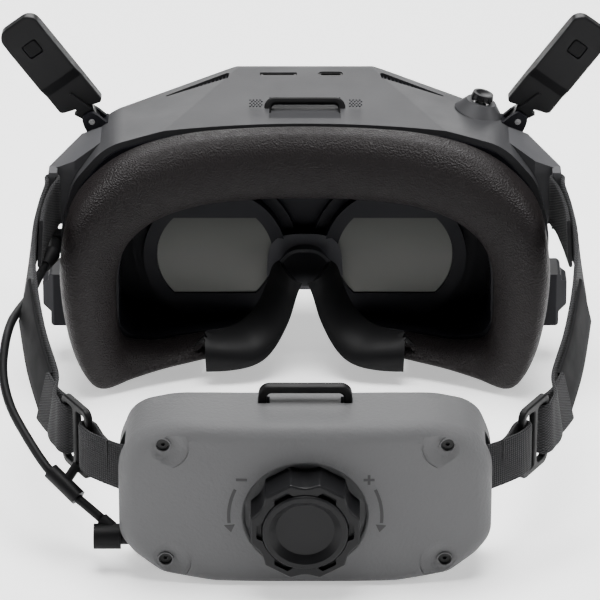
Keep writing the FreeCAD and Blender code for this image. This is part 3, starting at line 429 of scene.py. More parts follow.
def smooth_plastic(name, colour, roughness):
    """Polished plastic with hardly any grain."""
    made = Finish(name, colour, roughness)
    made.rough(made.noise(90.0, 5.0), roughness - 0.03, roughness + 0.05, 0.3, 0.7)
    made.bump(made.noise(500.0, 2.0), 0.000008)
    made.set(Specular_IOR_Level=0.12)
    return made.material


def grained_leather(colour):
    """Soft synthetic leather over foam: tiny pebbles, and a sheen that lifts at a grazing angle."""
    made = Finish("pad_leather", colour, 0.5)
    pebbles = made.cells(1350.0)
    made.rough(made.noise(300.0, 3.0), 0.42, 0.58, 0.3, 0.7)
    made.shade(pebbles, tuple(c * 0.72 for c in colour), tuple(min(1, c * 1.25) for c in colour), 0.0, 0.8)
    made.bump(pebbles, 0.00030, 1.0)
    made.bump(made.noise(2600.0, 2.0), 0.00006, 0.7)
    made.set(Sheen_Weight=0.02, Sheen_Roughness=0.3, Specular_IOR_Level=0.14)
    made.shader.inputs["Sheen Tint"].default_value = (0.62, 0.55, 0.54, 1)
    return made.material


def soft_rubber(name, colour, roughness):
    """Matt rubber or cloth with a very fine grain."""
    made = Finish(name, colour, roughness)
    made.rough(made.noise(120.0, 4.0), roughness - 0.05, roughness + 0.06, 0.3, 0.7)
    made.bump(made.noise(1700.0, 3.0), 0.00002)
    made.set(Specular_IOR_Level=0.10)
    return made.material


def woven_band(name, colour, across, along, depth, slant=0.0):
    """Woven webbing on a band's own UV map, whose U runs along it and V across it, both in metres."""
    made = Finish(name, colour, 0.75)
    source = made.node("ShaderNodeTexCoord")
    parts = made.node("ShaderNodeSeparateXYZ")
    made.link(source.outputs["UV"], parts.inputs["Vector"])
    u, v = parts.outputs["X"], parts.outputs["Y"]
    slanted = made.math("ADD", u, made.math("MULTIPLY", v, slant))
    other = made.math("SUBTRACT", u, made.math("MULTIPLY", v, slant))
    ribs = made.math("SINE", made.math("MULTIPLY", slanted, 2 * math.pi / along))
    if slant:
        yarns = made.math("SINE", made.math("MULTIPLY", other, 2 * math.pi / along))
    else:
        yarns = made.math("SINE", made.math("MULTIPLY", v, 2 * math.pi / across))
    weave = made.math("MULTIPLY", ribs, yarns)
    height = made.spread(weave, 0.0, 1.0, -1.0, 1.0)
    fuzz = made.noise(4000.0, 2.0)
    made.shade(height, tuple(c * 0.45 for c in colour), tuple(min(1, c * 1.6) for c in colour))
    made.bump(height, depth, 1.0)
    made.bump(fuzz, 0.00008, 0.6)
    made.set(Sheen_Weight=0.04, Sheen_Roughness=0.5, Specular_IOR_Level=0.1)
    return made.material


def bare_metal(name, colour, roughness):
    """Bare metal with a turned or brushed streak."""
    made = Finish(name, colour, roughness, 1.0)
    made.rough(made.noise(800.0, 3.0, stretch=(1, 1, 12)), roughness - 0.08, roughness + 0.1, 0.3, 0.7)
    made.bump(made.noise(2500.0, 2.0), 0.000005)
    return made.material


def lens_with_painted_reflection():
    """A dark lens with a soft grey reflection painted into its colour, lighter low down."""
    made = Finish("lens_glass", (0.06, 0.062, 0.058), 0.5)
    parts = made.node("ShaderNodeSeparateXYZ")
    made.link(made.places(), parts.inputs["Vector"])
    # Painted reflection: the lens colour is lighter low down and darker higher up.
    made.shade(parts.outputs["Z"], (0.17, 0.17, 0.16), (0.045, 0.047, 0.043), 0.022, 0.054)
    made.set(Specular_IOR_Level=0.1, Coat_Weight=0.05, Coat_Roughness=0.3)
    made.rough(made.noise(40.0, 2.0), 0.45, 0.55, 0.3, 0.7)
    return made.material


MATERIALS = {}


def make_materials():
    look = bpy.context.scene.goggle_colours
    casing, pack = tuple(look.casing), tuple(look.pack)
    black, pad = tuple(look.black), tuple(look.pad)
    MATERIALS.update({
        "casing_plastic": moulded_plastic("casing_plastic", casing, 0.46, 1500.0, 0.00002),
        "visor_plastic": smooth_plastic("visor_plastic", (0.012, 0.012, 0.014), 0.12),
        "frame_plastic": moulded_plastic("frame_plastic", (black[0] * 0.8, black[1] * 0.8, black[2] * 1.1),
                                         0.55, 1600.0, 0.00002),
        # The lens colour carries a painted reflection, lighter low down.
        "lens_glass": lens_with_painted_reflection(),
        "screen_glass": smooth_plastic("screen_glass", (0.03, 0.03, 0.035), 0.1),
        "circuit_board": smooth_plastic("circuit_board", (0.01, 0.09, 0.05), 0.4),
        "bare_aluminium": bare_metal("bare_aluminium", (0.75, 0.75, 0.76), 0.35),
        "screw_steel": smooth_plastic("screw_steel", (0.012, 0.012, 0.012), 0.35),
        "pin_steel": bare_metal("pin_steel", (0.55, 0.55, 0.55), 0.3),
        "pad_foam": grained_leather(pad),
        "soft_rubber": soft_rubber("soft_rubber", tuple(c * 0.7 for c in black), 0.5),
        # Painted highlight: the nose saddle gets a lighter copy of the black frame plastic. It stands in for the
        # reflection on its lower lip.
        "bridge_plastic_painted_highlight": smooth_plastic("bridge_plastic_painted_highlight", tuple(c * 12.0 for c in black), 0.35),
        # Painted reflection: a lighter copy of the casing plastic for the strap arms. It stands in for light
        # reflected off their top facets.
        "arm_plastic_painted_reflection": moulded_plastic("arm_plastic_painted_reflection", tuple(c * 1.7 for c in casing), 0.5, 1600.0, 0.00002),
        # Painted shade: near-black for the ear vents' honeycomb cells. It stands in for the shade inside the
        # perforations.
        "vent_hole_painted_shade": smooth_plastic("vent_hole_painted_shade", (0.002, 0.002, 0.002), 0.6),
        "thread": soft_rubber("thread", (0.035, 0.035, 0.036), 0.7),
        "mark_ink": smooth_plastic("mark_ink", tuple(c * 0.45 for c in pack), 0.5),
        "tab_cloth": soft_rubber("tab_cloth", tuple(c * 0.9 for c in black), 0.8),
        "webbing": woven_band("webbing", (0.020, 0.020, 0.021), 0.0011, 0.0016, 0.0003),
        "elastic": woven_band("elastic", (0.020, 0.020, 0.021), 0.0013, 0.0017, 0.0003, slant=1.0),
        "buckle_plastic": smooth_plastic("buckle_plastic", tuple(c * 0.6 for c in black), 0.45),
        "antenna_plastic": smooth_plastic("antenna_plastic", black, 0.36),
        "pack_plastic": moulded_plastic("pack_plastic", pack, 0.55, 800.0, 0.00018),
        "dial_plastic": smooth_plastic("dial_plastic", tuple(c * 1.2 for c in black), 0.36),
        "gear_plastic": smooth_plastic("gear_plastic", (0.6, 0.6, 0.56), 0.4),
        "cell_wrap": smooth_plastic("cell_wrap", (0.06, 0.14, 0.3), 0.35),
    })


# ------------------------------------------------------------------ settings a user would change
def colour_setting(name, description, default):
    return bpy.props.FloatVectorProperty(name=name, description=description, default=default, size=3,
                                         subtype="COLOR", min=0.0, max=1.0)


def length_setting(name, description, millimetres):
    return bpy.props.FloatProperty(name=name, description=description, default=millimetres * MM,
                                   unit="LENGTH", subtype="DISTANCE", min=0.0)


class GoggleColours(bpy.types.PropertyGroup):
    """Colours of the main finishes."""
    casing: colour_setting("Casing", "Colour of the goggle casing", (0.031, 0.031, 0.033))
    pack: colour_setting("Battery pack", "Colour of the battery pack's casings", (0.080, 0.080, 0.082))
    black: colour_setting("Black mouldings", "Colour of the frame, antennas, buckles and dial",
                          (0.0055, 0.0055, 0.006))
    pad: colour_setting("Face pad", "Colour of the face pad's leather", (0.0065, 0.0052, 0.0054))


class GoggleSizes(bpy.types.PropertyGroup):
    """Sizes of the soft pieces."""
    webbing_height: length_setting("Webbing height", "Width of the webbing, which stands on edge", 20.0)
    webbing_thickness: length_setting("Webbing thickness", "Thickness of the webbing", 1.5)
    lead_diameter: length_setting("Lead diameter", "Outside diameter of the power lead", 3.5)


# ------------------------------------------------------------------ stage
FLOOR_HALF_WIDTH = 6.0  # metres, as everything on the stage is
FLOOR_GAP = 0.0004
LIGHTS = (  # name, place, aim, width and power in watts
    ("top_light", (0.0, 0.05, 1.7), (0, 0.02, 0.05), 1.3, 78.0),
    ("left_light", (-1.6, -0.25, 0.7), (0, 0, 0.05), 0.6, 13.0),
    ("right_light", (1.6, -0.25, 0.7), (0, 0, 0.05), 0.6, 13.0),
    ("rear_light", (0.0, 1.8, 0.9), (0, 0, 0.08), 1.2, 20.0))
CAMERA_TARGET = (-1.9, 0.0, 60.0)  # millimetres of the drafting frame
CAMERA_TILT = math.radians(25)
CAMERA_DISTANCE = 2.0
CAMERA_LENS = 314.8


class GOGGLES_OT_stage(bpy.types.Operator):
    """Makes the pale floor, the studio lights and the camera"""
    bl_idname = "goggles.stage"
    bl_label = "Stage, lights and camera"

    def execute(self, context):
        reach = FLOOR_HALF_WIDTH
        corners = [(-reach, -reach, 0), (reach, -reach, 0), (reach, reach, 0), (-reach, reach, 0)]
        floor = mesh_object("floor", corners, [(0, 1, 2, 3)], smooth=False)
        floor.location.z = -FLOOR_GAP
        made = Finish("floor_paper", (0.95, 0.95, 0.95), 0.9)
        made.set(Specular_IOR_Level=0.0, Emission_Strength=0.6)
        made.shader.inputs["Emission Color"].default_value = (1, 1, 1, 1)
        paint(floor, made.material)
        world = bpy.data.worlds.new("studio")
        world.use_nodes = True
        world.node_tree.nodes["Background"].inputs[0].default_value = (1.0, 1.0, 1.0, 1)
        world.node_tree.nodes["Background"].inputs[1].default_value = 0.10
        context.scene.world = world
        for name, place, aim, size, power in LIGHTS:
            light = bpy.data.lights.new(name, "AREA")
            light.shape, light.size, light.energy = "DISK", size, power
            lamp = new_object(name, light)
            lamp.location = place
            lamp.rotation_euler = (Vector(aim) - Vector(place)).to_track_quat("-Z", "Y").to_euler()
        lens = bpy.data.cameras.new("camera")
        lens.lens, lens.sensor_width, lens.clip_end = CAMERA_LENS, 36.0, 20.0
        eye = new_object("camera", lens)
        target = at(*CAMERA_TARGET)
        tilt = CAMERA_TILT
        eye.location = target + Vector((0, -math.cos(tilt), math.sin(tilt))) * CAMERA_DISTANCE
        eye.rotation_euler = (target - eye.location).to_track_quat("-Z", "Y").to_euler()
        context.scene.camera = eye
        return {"FINISHED"}


# ------------------------------------------------------------------ power lead
LEAD_ROUTE = [(-101.2, 41.0, 55.4), (-103.4, 32.5, 54.2), (-106.0, 20.5, 52.0), (-109.4, 6.0, 53.2),
              (-111.8, -10.5, 55.6), (-113.2, -28.5, 55.0), (-113.4, -45.5, 50.6), (-110.0, -61.5, 45.2),
              (-103.6, -75.0, 40.2), (-96.4, -86.8, 34.0), (-88.8, -92.8, 27.4), (-80.6, -97.8, 22.6),
              (-74.6, -101.2, 18.6)]


class GOGGLES_OT_lead(bpy.types.Operator):
    """Makes the power lead from the casing's left side to the battery pack"""
    bl_idname = "goggles.lead"
    bl_label = "Power lead"

    def execute(self, context):
        sizes = context.scene.goggle_sizes
        curve = bpy.data.curves.new("lead_line", "CURVE")
        curve.dimensions = "3D"
        curve.resolution_u = 10
        line = curve.splines.new("NURBS")
        line.points.add(len(LEAD_ROUTE) - 1)
        for point, place in zip(line.points, LEAD_ROUTE):
            point.co = (*at(*place), 1.0)
        line.order_u = 3
        line.use_endpoint_u = True
        holder = new_object("lead_line", curve)
        bpy.context.view_layer.update()
        mesh = bpy.data.meshes.new_from_object(holder.evaluated_get(bpy.context.evaluated_depsgraph_get()))
        path = [v.co.copy() for v in mesh.vertices]
        bpy.data.objects.remove(holder)
        lead = tube("power_lead_cable", path, sizes.lead_diameter / 2, 20)
        paint(lead, MATERIALS["soft_rubber"])
        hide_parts("power_lead")
        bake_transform(lead)
        return {"FINISHED"}


# ------------------------------------------------------------------ face pad
PAD_FACE = (60.5, 150.0)  # depth in the middle and radius of the curve across, for the side to the face
PAD_BACK = (76.3, 260.0)  # the same for the side to the casing
PAD_ROUND_POWER = 2 / 2.15
PAD_SQUARE_POWER = 2 / 9.0
PAD_SECTIONS = [  # outer edge x, z and inner edge x, z, from the top middle round to the lower end
    (0.0, 100.2, 0.0, 72.6), (22.0, 100.0, 21.5, 72.6), (45.0, 99.2, 42.0, 71.6), (64.0, 96.0, 58.0, 67.6),
    (79.0, 89.0, 68.0, 60.6), (90.4, 77.0, 72.6, 51.6), (95.0, 59.0, 74.0, 41.0), (94.8, 41.0, 74.2, 31.0),
    (91.8, 22.0, 73.6, 21.0), (87.0, 8.0, 71.4, 14.6), (81.0, 0.4, 65.0, 12.0), (71.0, 2.4, 57.0, 11.0),
    (58.0, 4.4, 50.0, 11.6), (47.0, 5.6, 44.0, 12.2), (38.9, 6.6, 39.2, 12.8)]


def pad_depth(x, middle, radius):
    """Depth of one side of the pad, which wraps round the head."""
    return middle - (radius - math.sqrt(radius * radius - x * x))


def pad_mesh():
    """Points and faces of the whole pad, one rounded section after another from end to end."""
    rings, around = 144, 44
    keys = [(-a, b, -c, d) for a, b, c, d in reversed(PAD_SECTIONS[1:])] + PAD_SECTIONS
    points, faces = [], []
    for i in range(rings + 1):
        ox, oz, ix, iz = spline(keys, i / rings)
        for k in range(around):
            angle = 2 * math.pi * k / around
            c, s = math.cos(angle), math.sin(angle)
            power = PAD_ROUND_POWER if s < 0 else PAD_SQUARE_POWER
            u = 0.5 + 0.5 * math.copysign(abs(c) ** power, c)
            v = 0.5 + 0.5 * math.copysign(abs(s) ** power, s)
            x, z = mix(ix, ox, u), mix(iz, oz, u)
            rear = pad_depth(x, *PAD_FACE)
            front = pad_depth(x, *PAD_BACK)
            points.append(at(x, mix(rear, front, v), z))
    for i in range(rings):
        for k in range(around):
            a, b = i * around + k, i * around + (k + 1) % around
            faces.append((a, b, b + around, a + around))
    faces.append(tuple(reversed(range(around))))
    faces.append(tuple(range(rings * around, (rings + 1) * around)))
    return points, faces


class GOGGLES_OT_face_pad(bpy.types.Operator):
    """Makes the padded leather roll that rests against the face"""
    bl_idname = "goggles.face_pad"
    bl_label = "Face pad"

    def execute(self, context):
        points, faces = pad_mesh()
        pad = outwards(mesh_object("face_pad_cushion", points, faces))
        paint(crease_by_angle(pad, 60), MATERIALS["pad_foam"])
        fitted(pad, "goggles", "face_pad", slot="pad_foam")
        return {"FINISHED"}


# ------------------------------------------------------------------ nose bridge and flaps
FLAP_INNER = [(2.4, 67.0, 36.6), (2.7, 66.0, 34.2), (3.6, 65.0, 30.6), (6.1, 62.0, 23.0), (10.7, 58.0, 15.0),
              (15.7, 55.0, 9.9), (21.0, 53.0, 7.9), (29.6, 52.0, 6.8), (39.0, 51.5, 6.6)]
FLAP_OUTER = [(8.6, 77.0, 40.2), (10.9, 79.0, 37.6), (12.6, 79.5, 32.0), (14.4, 78.0, 27.2),
              (18.0, 74.0, 22.0), (24.3, 68.0, 17.8), (32.4, 62.0, 16.7), (39.5, 58.5, 17.1), (39.6, 58.0, 17.1)]
BRIDGE_HALF_ARCH = [(0.0, 90.0, 47.0), (5.2, 90.0, 46.8), (10.7, 89.0, 45.7), (14.3, 88.0, 40.9),
                    (15.1, 84.0, 31.8)]
BRIDGE_ARCH = [(-x, y, z) for x, y, z in reversed(BRIDGE_HALF_ARCH[1:])] + BRIDGE_HALF_ARCH


def flap_rows():
    """Rows across the right-hand flap, from its inner edge to its outer edge, bulging towards the face."""
    rows = []
    for i in range(41):
        inner = Vector(spline(FLAP_INNER, i / 40))
        outer = Vector(spline(FLAP_OUTER, i / 40))
        row = []
        for k in range(17):
            share = k / 16
            place = inner.lerp(outer, share)
            swell = 3.2 * math.sin(math.pi * share) ** 0.8
            row.append(at(place.x, place.y - swell, place.z + 0.25 * swell))
        rows.append(row)
    return rows


def bridge_rows():
    """Rows of the hollow saddle between the flaps, from its lower lip up to the arch."""
    rows = []
    for i in range(25):
        share = i / 24
        row = []
        for k in range(33):
            u = k / 16 - 1
            arch = Vector(spline(BRIDGE_ARCH, k / 32))
            lip = Vector((6.4 * u, 70.0, 33.5 + 0.8 * u * u))
            sag = 4 * share * (1 - share)
            place = lip.lerp(arch, share) + Vector((0, 2.6, -3.4)) * sag
            row.append(at(*place))
        rows.append(row)
    return rows


def tunnel_rows():
    """Rows of the arch that carries the saddle's sides forwards to the front of the casing."""
    rows = []
    for i in range(13):
        depth = mix(84.0, 119.5, i / 12)
        row = []
        for k in range(33):
            angle = math.pi * k / 32
            x = -10.6 * math.copysign(abs(math.cos(angle)) ** 0.7, math.cos(angle))
            flare = mix(1.3, 1.0, abs(math.sin(angle)))
            row.append(at(x * flare, depth, 19.0 + 23.4 * math.sin(angle) ** 0.6))
        rows.append(row)
    return rows


class GOGGLES_OT_nose(bpy.types.Operator):
    """Makes the saddle over the nose and the two soft flaps beside it"""
    bl_idname = "goggles.nose"
    bl_label = "Nose bridge and flaps"

    def execute(self, context):
        saddle = sheet_piece("nose_saddle", bridge_rows(), 0.0016, -1.0)
        tunnel = sheet_piece("nose_tunnel", tunnel_rows(), 0.0014, 0.0)
        bridge = crease_by_angle(joined("nose_bridge_moulding", [saddle, tunnel]), 40)
        for polygon in bridge.data.polygons:
            polygon.use_smooth = True
        # The saddle's lighter plastic is a painted highlight, not its own colour.
        paint(bridge, MATERIALS["bridge_plastic_painted_highlight"])
        fitted(bridge, "goggles", "nose_bridge", slot="frame_plastic")
        flap = sheet_piece("nose_flap_right_moulding", flap_rows(), 0.0022, -1.0)
        other = mirror_piece(flap, "nose_flap_left_moulding")
        for piece, node in ((flap, "nose_flap_right"), (other, "nose_flap_left")):
            paint(piece, MATERIALS["soft_rubber"])
            fitted(piece, "goggles", node, slot="soft_rubber")
        return {"FINISHED"}


# ------------------------------------------------------------------ small trims
class GOGGLES_OT_trims(bpy.types.Operator):
    """Sets out the ear vents' honeycomb, the textured corners by the top loop and the straps' stitches"""
    bl_idname = "goggles.trims"
    bl_label = "Perforations, texture and stitches"

    def execute(self, context):
        combs, corners, stitches = [], [], []
        for side in (-1, 1):
            wall = placing(at(side * 73.4, 88.5, 31.0), Vector((0, 0, 1)), Vector((-side, 0, 0)))
            # Each near-black hexagon is painted shade standing in for a perforation.
            combs.append(small_array("honeycomb", wall, Count_Along=13, Count_Across=7, Spacing_Along=0.00152,
                                     Spacing_Across=0.00132, Stagger=0.00076, Sides=6, Base_Radius=0.00062,
                                     Top_Radius=0.00055, Height=0.0003, Material=MATERIALS["vent_hole_painted_shade"]))
            slope = placing(at(side * 19.6, 90.0, 103.3), Vector((1, 0, 0)), Vector((0, -0.102, 1)))
            corners.append(small_array("corner_texture", slope, Count_Along=4, Count_Across=5,
                                       Spacing_Along=0.0013, Spacing_Across=0.0013, Stagger=0.00065, Sides=3,
                                       Base_Radius=0.0006, Top_Radius=0.0001, Height=0.0004,
                                       Turn_Wander=0.05, Material=MATERIALS["frame_plastic"]))
            for row in (-1, 1):
                out = Vector((side, 0.16, 0))
                seam = placing(at(side * 101.9, 49.0 + 1.5 * row, 70.9), Vector((0, 0.2, 1)), out)
                stitches.append(small_array("stitches", seam, Count_Along=8, Spacing_Along=0.0021, Sides=8,
                                            Base_Radius=0.0006, Top_Radius=0.0003, Height=0.00035,
                                            Stretch=(1.25, 0.45, 1.0), Turn_Wander=0.06, Seed=3 + row,
                                            Material=MATERIALS["thread"]))
        # The honeycomb's near-black finish is painted shade in the perforations.
        for name, made, finish, slot in (("ear_vent_honeycomb", combs, "vent_hole_painted_shade", "frame_plastic"),
                                         ("loop_corner_texture", corners, "frame_plastic", "frame_plastic"),
                                         ("strap_stitches", stitches, "thread", "webbing")):
            piece = paint(joined(name, made), MATERIALS[finish])
            for face in piece.data.polygons:
                face.material_index = 0
            fitted(piece, "goggles", slot=slot)
        return {"FINISHED"}


# ------------------------------------------------------------------ battery pack
PACK = {"lean": math.radians(5.0), "rear": -118.0, "half_width": 68.0, "height": 66.0, "split": -94.05}
DIAL_Z = 29.6
DISH_RADIUS = 22.4
DISH_DEPTH = 3.0
WALL = 2.0
SHAFT_HOLE_RADIUS = 2.6
SCREW_HOLE_RADIUS = 2.45
SCREW_DISH_RADIUS = 9.5
EDGE_WIDTH = 6.0  # how far the rounded edge reaches in at the pack's ends
PACK_OUTLINE = [  # right half, from the top middle down: x, z and corner radius
    (0.0, 66.4, 0.0), (46.0, 66.2, 60.0), (62.0, 60.0, 16.0), (68.0, 47.0, 20.0), (68.0, 16.0, 24.0),
    (62.5, 9.4, 8.0), (53.0, 2.6, 8.0), (34.0, 0.0, 30.0), (0.0, 0.0, 0.0)]
PACK_SCREWS = ((51.4, 57.8), (51.0, 9.2))


def on_pack(x, y, z):
    """A place drawn on the upright pack, leaned with it and moved to the part's frame."""
    c, s = math.cos(PACK["lean"]), math.sin(PACK["lean"])
    back = y - PACK["rear"]
    return at(x, PACK["rear"] + back * c - z * s, back * s + z * c)


def rounded_outline(half, count):
    """count points evenly round the closed outline whose right half is given, with its corners rounded."""
    corners = list(half) + [(-x, z, r) for x, z, r in reversed(half) if x]
    total = len(corners)
    line = []
    for i in range(total):
        corner = Vector(corners[i][:2])
        before = Vector(corners[i - 1][:2]) - corner
        after = Vector(corners[(i + 1) % total][:2]) - corner
        radius = corners[i][2]
        if not radius:
            line.append(corner)
            continue
        turn = before.angle(after)
        cut = min(radius / math.tan(turn / 2), 0.49 * before.length, 0.49 * after.length)
        start, end = corner + before.normalized() * cut, corner + after.normalized() * cut
        for k in range(13):
            t = k / 12
            line.append(start * (1 - t) ** 2 + corner * 2 * t * (1 - t) + end * t ** 2)
    line.append(line[0])
    reach = [0.0]
    for a, b in zip(line, line[1:]):
        reach.append(reach[-1] + (b - a).length)
    found, place = [], 0
    for i in range(count):
        wanted = reach[-1] * i / count
        while reach[place + 1] < wanted:
            place += 1
        share = (wanted - reach[place]) / max(reach[place + 1] - reach[place], 1e-9)
        found.append(line[place].lerp(line[place + 1], share))
    return found


def rings_mesh(name, rings, closed=True):
    """A smooth mesh from rings of points. A closed one joins its last ring to its first, like a bent tube."""
    around = len(rings[0])
    points = [p for ring in rings for p in ring]
    faces = []
    for i in range(len(rings) if closed else len(rings) - 1):
        j = (i + 1) % len(rings)
        for k in range(around):
            n = (k + 1) % around
            faces.append((i * around + k, i * around + n, j * around + n, j * around + k))
    return outwards(mesh_object(name, points, faces))


def pack_face_y(x):
    """The pack's rear face, which curves forwards towards its two ends."""
    return PACK["rear"] + 0.0000205 * abs(x) ** 3


def pack_shell_rings(outline, inset):
    """Rings of one wall surface, from the seam over the rounded edge and across the face to the dish."""
    middle_z = PACK["height"] / 2

    def drawn_in(p, reach_x, reach_z):
        return (p.x * (1 - reach_x / PACK["half_width"]),
                middle_z + (p.y - middle_z) * (1 - reach_z / middle_z))

    def edge_height(p):
        return mix(3.2, 6.2, smooth_step((p.y - 20) / 36))

    seam = []
    for p in outline:
        x, z = drawn_in(p, inset, inset)
        seam.append(on_pack(x, PACK["split"], z))
    rings = [seam]
    steps = 9
    for i in range(steps + 1):
        angle = math.pi / 2 * i / steps
        rounding = 1 - math.cos(angle)
        ring = []
        for p in outline:
            x, z = drawn_in(p, EDGE_WIDTH * rounding + inset, edge_height(p) * rounding + inset)
            depth = mix(4.0, 6.5, smooth_step((p.y - 20) / 36)) * (1 - math.sin(angle)) + inset
            ring.append(on_pack(x, pack_face_y(x) + depth, z))
        rings.append(ring)
    for i in range(1, 11):
        share = i / 10
        ring = []
        for p in outline:
            x0, z0 = drawn_in(p, EDGE_WIDTH + inset, edge_height(p) + inset)
            turn = math.atan2(z0 - DIAL_Z, x0)
            lip = DISH_RADIUS + inset + 0.7 * (i < 10)
            x = mix(x0, lip * math.cos(turn), min(1.0, share / 0.9))
            z = mix(z0, DIAL_Z + lip * math.sin(turn), min(1.0, share / 0.9))
            ring.append(on_pack(x, pack_face_y(x) + inset + 0.5 * (i == 10), z))
        rings.append(ring)
    return rings


def circle_on_pack(outline, radius, y):
    """A ring about the dial's axis whose points face those of the outline."""
    found = []
    for p in outline:
        turn = math.atan2(p.y - DIAL_Z, p.x)
        found.append(on_pack(radius * math.cos(turn), y, DIAL_Z + radius * math.sin(turn)))
    return found


def turned_cutter(name, x, z, profile, sides=40):
    """A closed turned shape about an axis square to the pack's face, from (radius, y) pairs."""
    rings = []
    for radius, y in profile:
        rings.append([on_pack(x + radius * math.cos(2 * math.pi * k / sides), y,
                              z + radius * math.sin(2 * math.pi * k / sides)) for k in range(sides)])
    piece = rings_mesh(name, rings, closed=False)
    work = bmesh.new()
    work.from_mesh(piece.data)
    bmesh.ops.holes_fill(work, edges=[e for e in work.edges if e.is_boundary])
    bmesh.ops.recalc_face_normals(work, faces=work.faces)
    work.to_mesh(piece.data)
    work.free()
    return piece


def box_cutter(name, low, high):
    ends = list(zip(low, high))
    corners = [on_pack(x, y, z) for x in ends[0] for y in ends[1] for z in ends[2]]
    faces = [(0, 1, 3, 2), (4, 6, 7, 5), (0, 4, 5, 1), (2, 3, 7, 6), (0, 2, 6, 4), (1, 5, 7, 3)]
    return outwards(mesh_object(name, corners, faces, smooth=False))


def cut_away(piece, cutters):
    """Takes the cutters out of a piece."""
    cutter = joined("cutter", cutters)
    tool = piece.modifiers.new("cut", "BOOLEAN")
    tool.operation, tool.solver, tool.object = "DIFFERENCE", "EXACT", cutter
    finish_mesh(piece)
    bpy.data.objects.remove(cutter)
    return piece


def face_patch(name, rows):
    """A thin raised mark on the pack's face, from rows of x and z pairs."""
    raised = [[on_pack(x, pack_face_y(x) - 0.06, z) for x, z in row] for row in rows]
    return sheet_piece(name, raised, 0.0002, 0.0)


def turn_marks():
    """Plain signs for tighter and looser: a bent arrow at each side of the dial, with a minus or a plus."""
    made = []
    for side in (-1, 1):
        def ring(radius, degrees):
            turn = math.radians(degrees)
            return side * radius * math.cos(turn), DIAL_Z + radius * math.sin(turn)
        bow = [[ring(27.2, 24 - 3 * i), ring(28.4, 24 - 3 * i)] for i in range(11)]
        head = [[ring(25.9, -8), ring(29.7, -8)], [ring(27.7, -14), ring(27.9, -14)]]
        x, z = ring(27.8, 34)
        bar = [[(x - 2.0, z - 0.5), (x - 2.0, z + 0.5)], [(x + 2.0, z - 0.5), (x + 2.0, z + 0.5)]]
        made += [face_patch("bow", bow), face_patch("head", head), face_patch("bar", bar)]
        if side > 0:
            for low, high in ((-2.0, -0.6), (0.6, 2.0)):
                made.append(face_patch("post", [[(x - 0.5, z + low), (x - 0.5, z + high)],
                                                [(x + 0.5, z + low), (x + 0.5, z + high)]]))
    return made


class GOGGLES_OT_pack_shell(bpy.types.Operator):
    """Makes the pack's rear casing with its soft edges, the dial's dish and the hollows round the screws"""
    bl_idname = "goggles.pack_shell"
    bl_label = "Battery pack casing"

    def execute(self, context):
        outline = rounded_outline(PACK_OUTLINE, 240)
        outer = pack_shell_rings(outline, 0.0)
        inner = pack_shell_rings(outline, WALL)
        floor = PACK["rear"] + DISH_DEPTH
        dish = [circle_on_pack(outline, radius, y) for radius, y in (
            (DISH_RADIUS, floor - 0.4), (DISH_RADIUS - 0.4, floor), (SHAFT_HOLE_RADIUS, floor),
            (SHAFT_HOLE_RADIUS, floor + WALL), (DISH_RADIUS + WALL, floor + WALL))]
        shell = rings_mesh("pack_rear_shell", outer + dish + list(reversed(inner)))
        cutters = []
        for x, z in PACK_SCREWS:
            for side in (-1, 1):
                face = pack_face_y(x)
                hollow = [(SCREW_HOLE_RADIUS, face + 4.0), (SCREW_HOLE_RADIUS, face + 0.5),
                          (2.9, face + 0.35), (3.0, face + 1.05)]
                for share in (0.15, 0.3, 0.45, 0.6, 0.75, 0.9, 1.0):
                    hollow.append((mix(3.0, SCREW_DISH_RADIUS, share), face + 1.1 - 1.5 * smooth_step(share)))
                hollow.append((SCREW_DISH_RADIUS, face - 6.0))
                cutters.append(turned_cutter("hollow", side * x, z, hollow))
        for side in (-1, 1):
            for name, near, far, low, high in (("strap_slot", 60.0, 75.0, (-104.4, 31.4), (-92.0, 52.6)),
                                               ("loop_foot", 12.9, 17.2, (-99.2, 60.0), (-92.0, 72.0))):
                left, right = sorted((side * near, side * far))
                cutters.append(box_cutter(name, (left, *low), (right, *high)))
        cutters.append(box_cutter("lead_port", (-75.0, -106.7, 8.9), (-61.0, -100.5, 15.1)))
        cut_away(shell, cutters)
        paint(crease_by_angle(shell, 32), MATERIALS["pack_plastic"])
        fitted(shell, "pack", "pack_rear_casing", slot="pack_plastic")
        marks = joined("turn_marks", turn_marks())
        fitted(paint(marks, MATERIALS["mark_ink"]), "pack", slot="pack_plastic")
        return {"FINISHED"}


SETTLING_FRAMES = 14
PUFF_LIMIT = 0.004


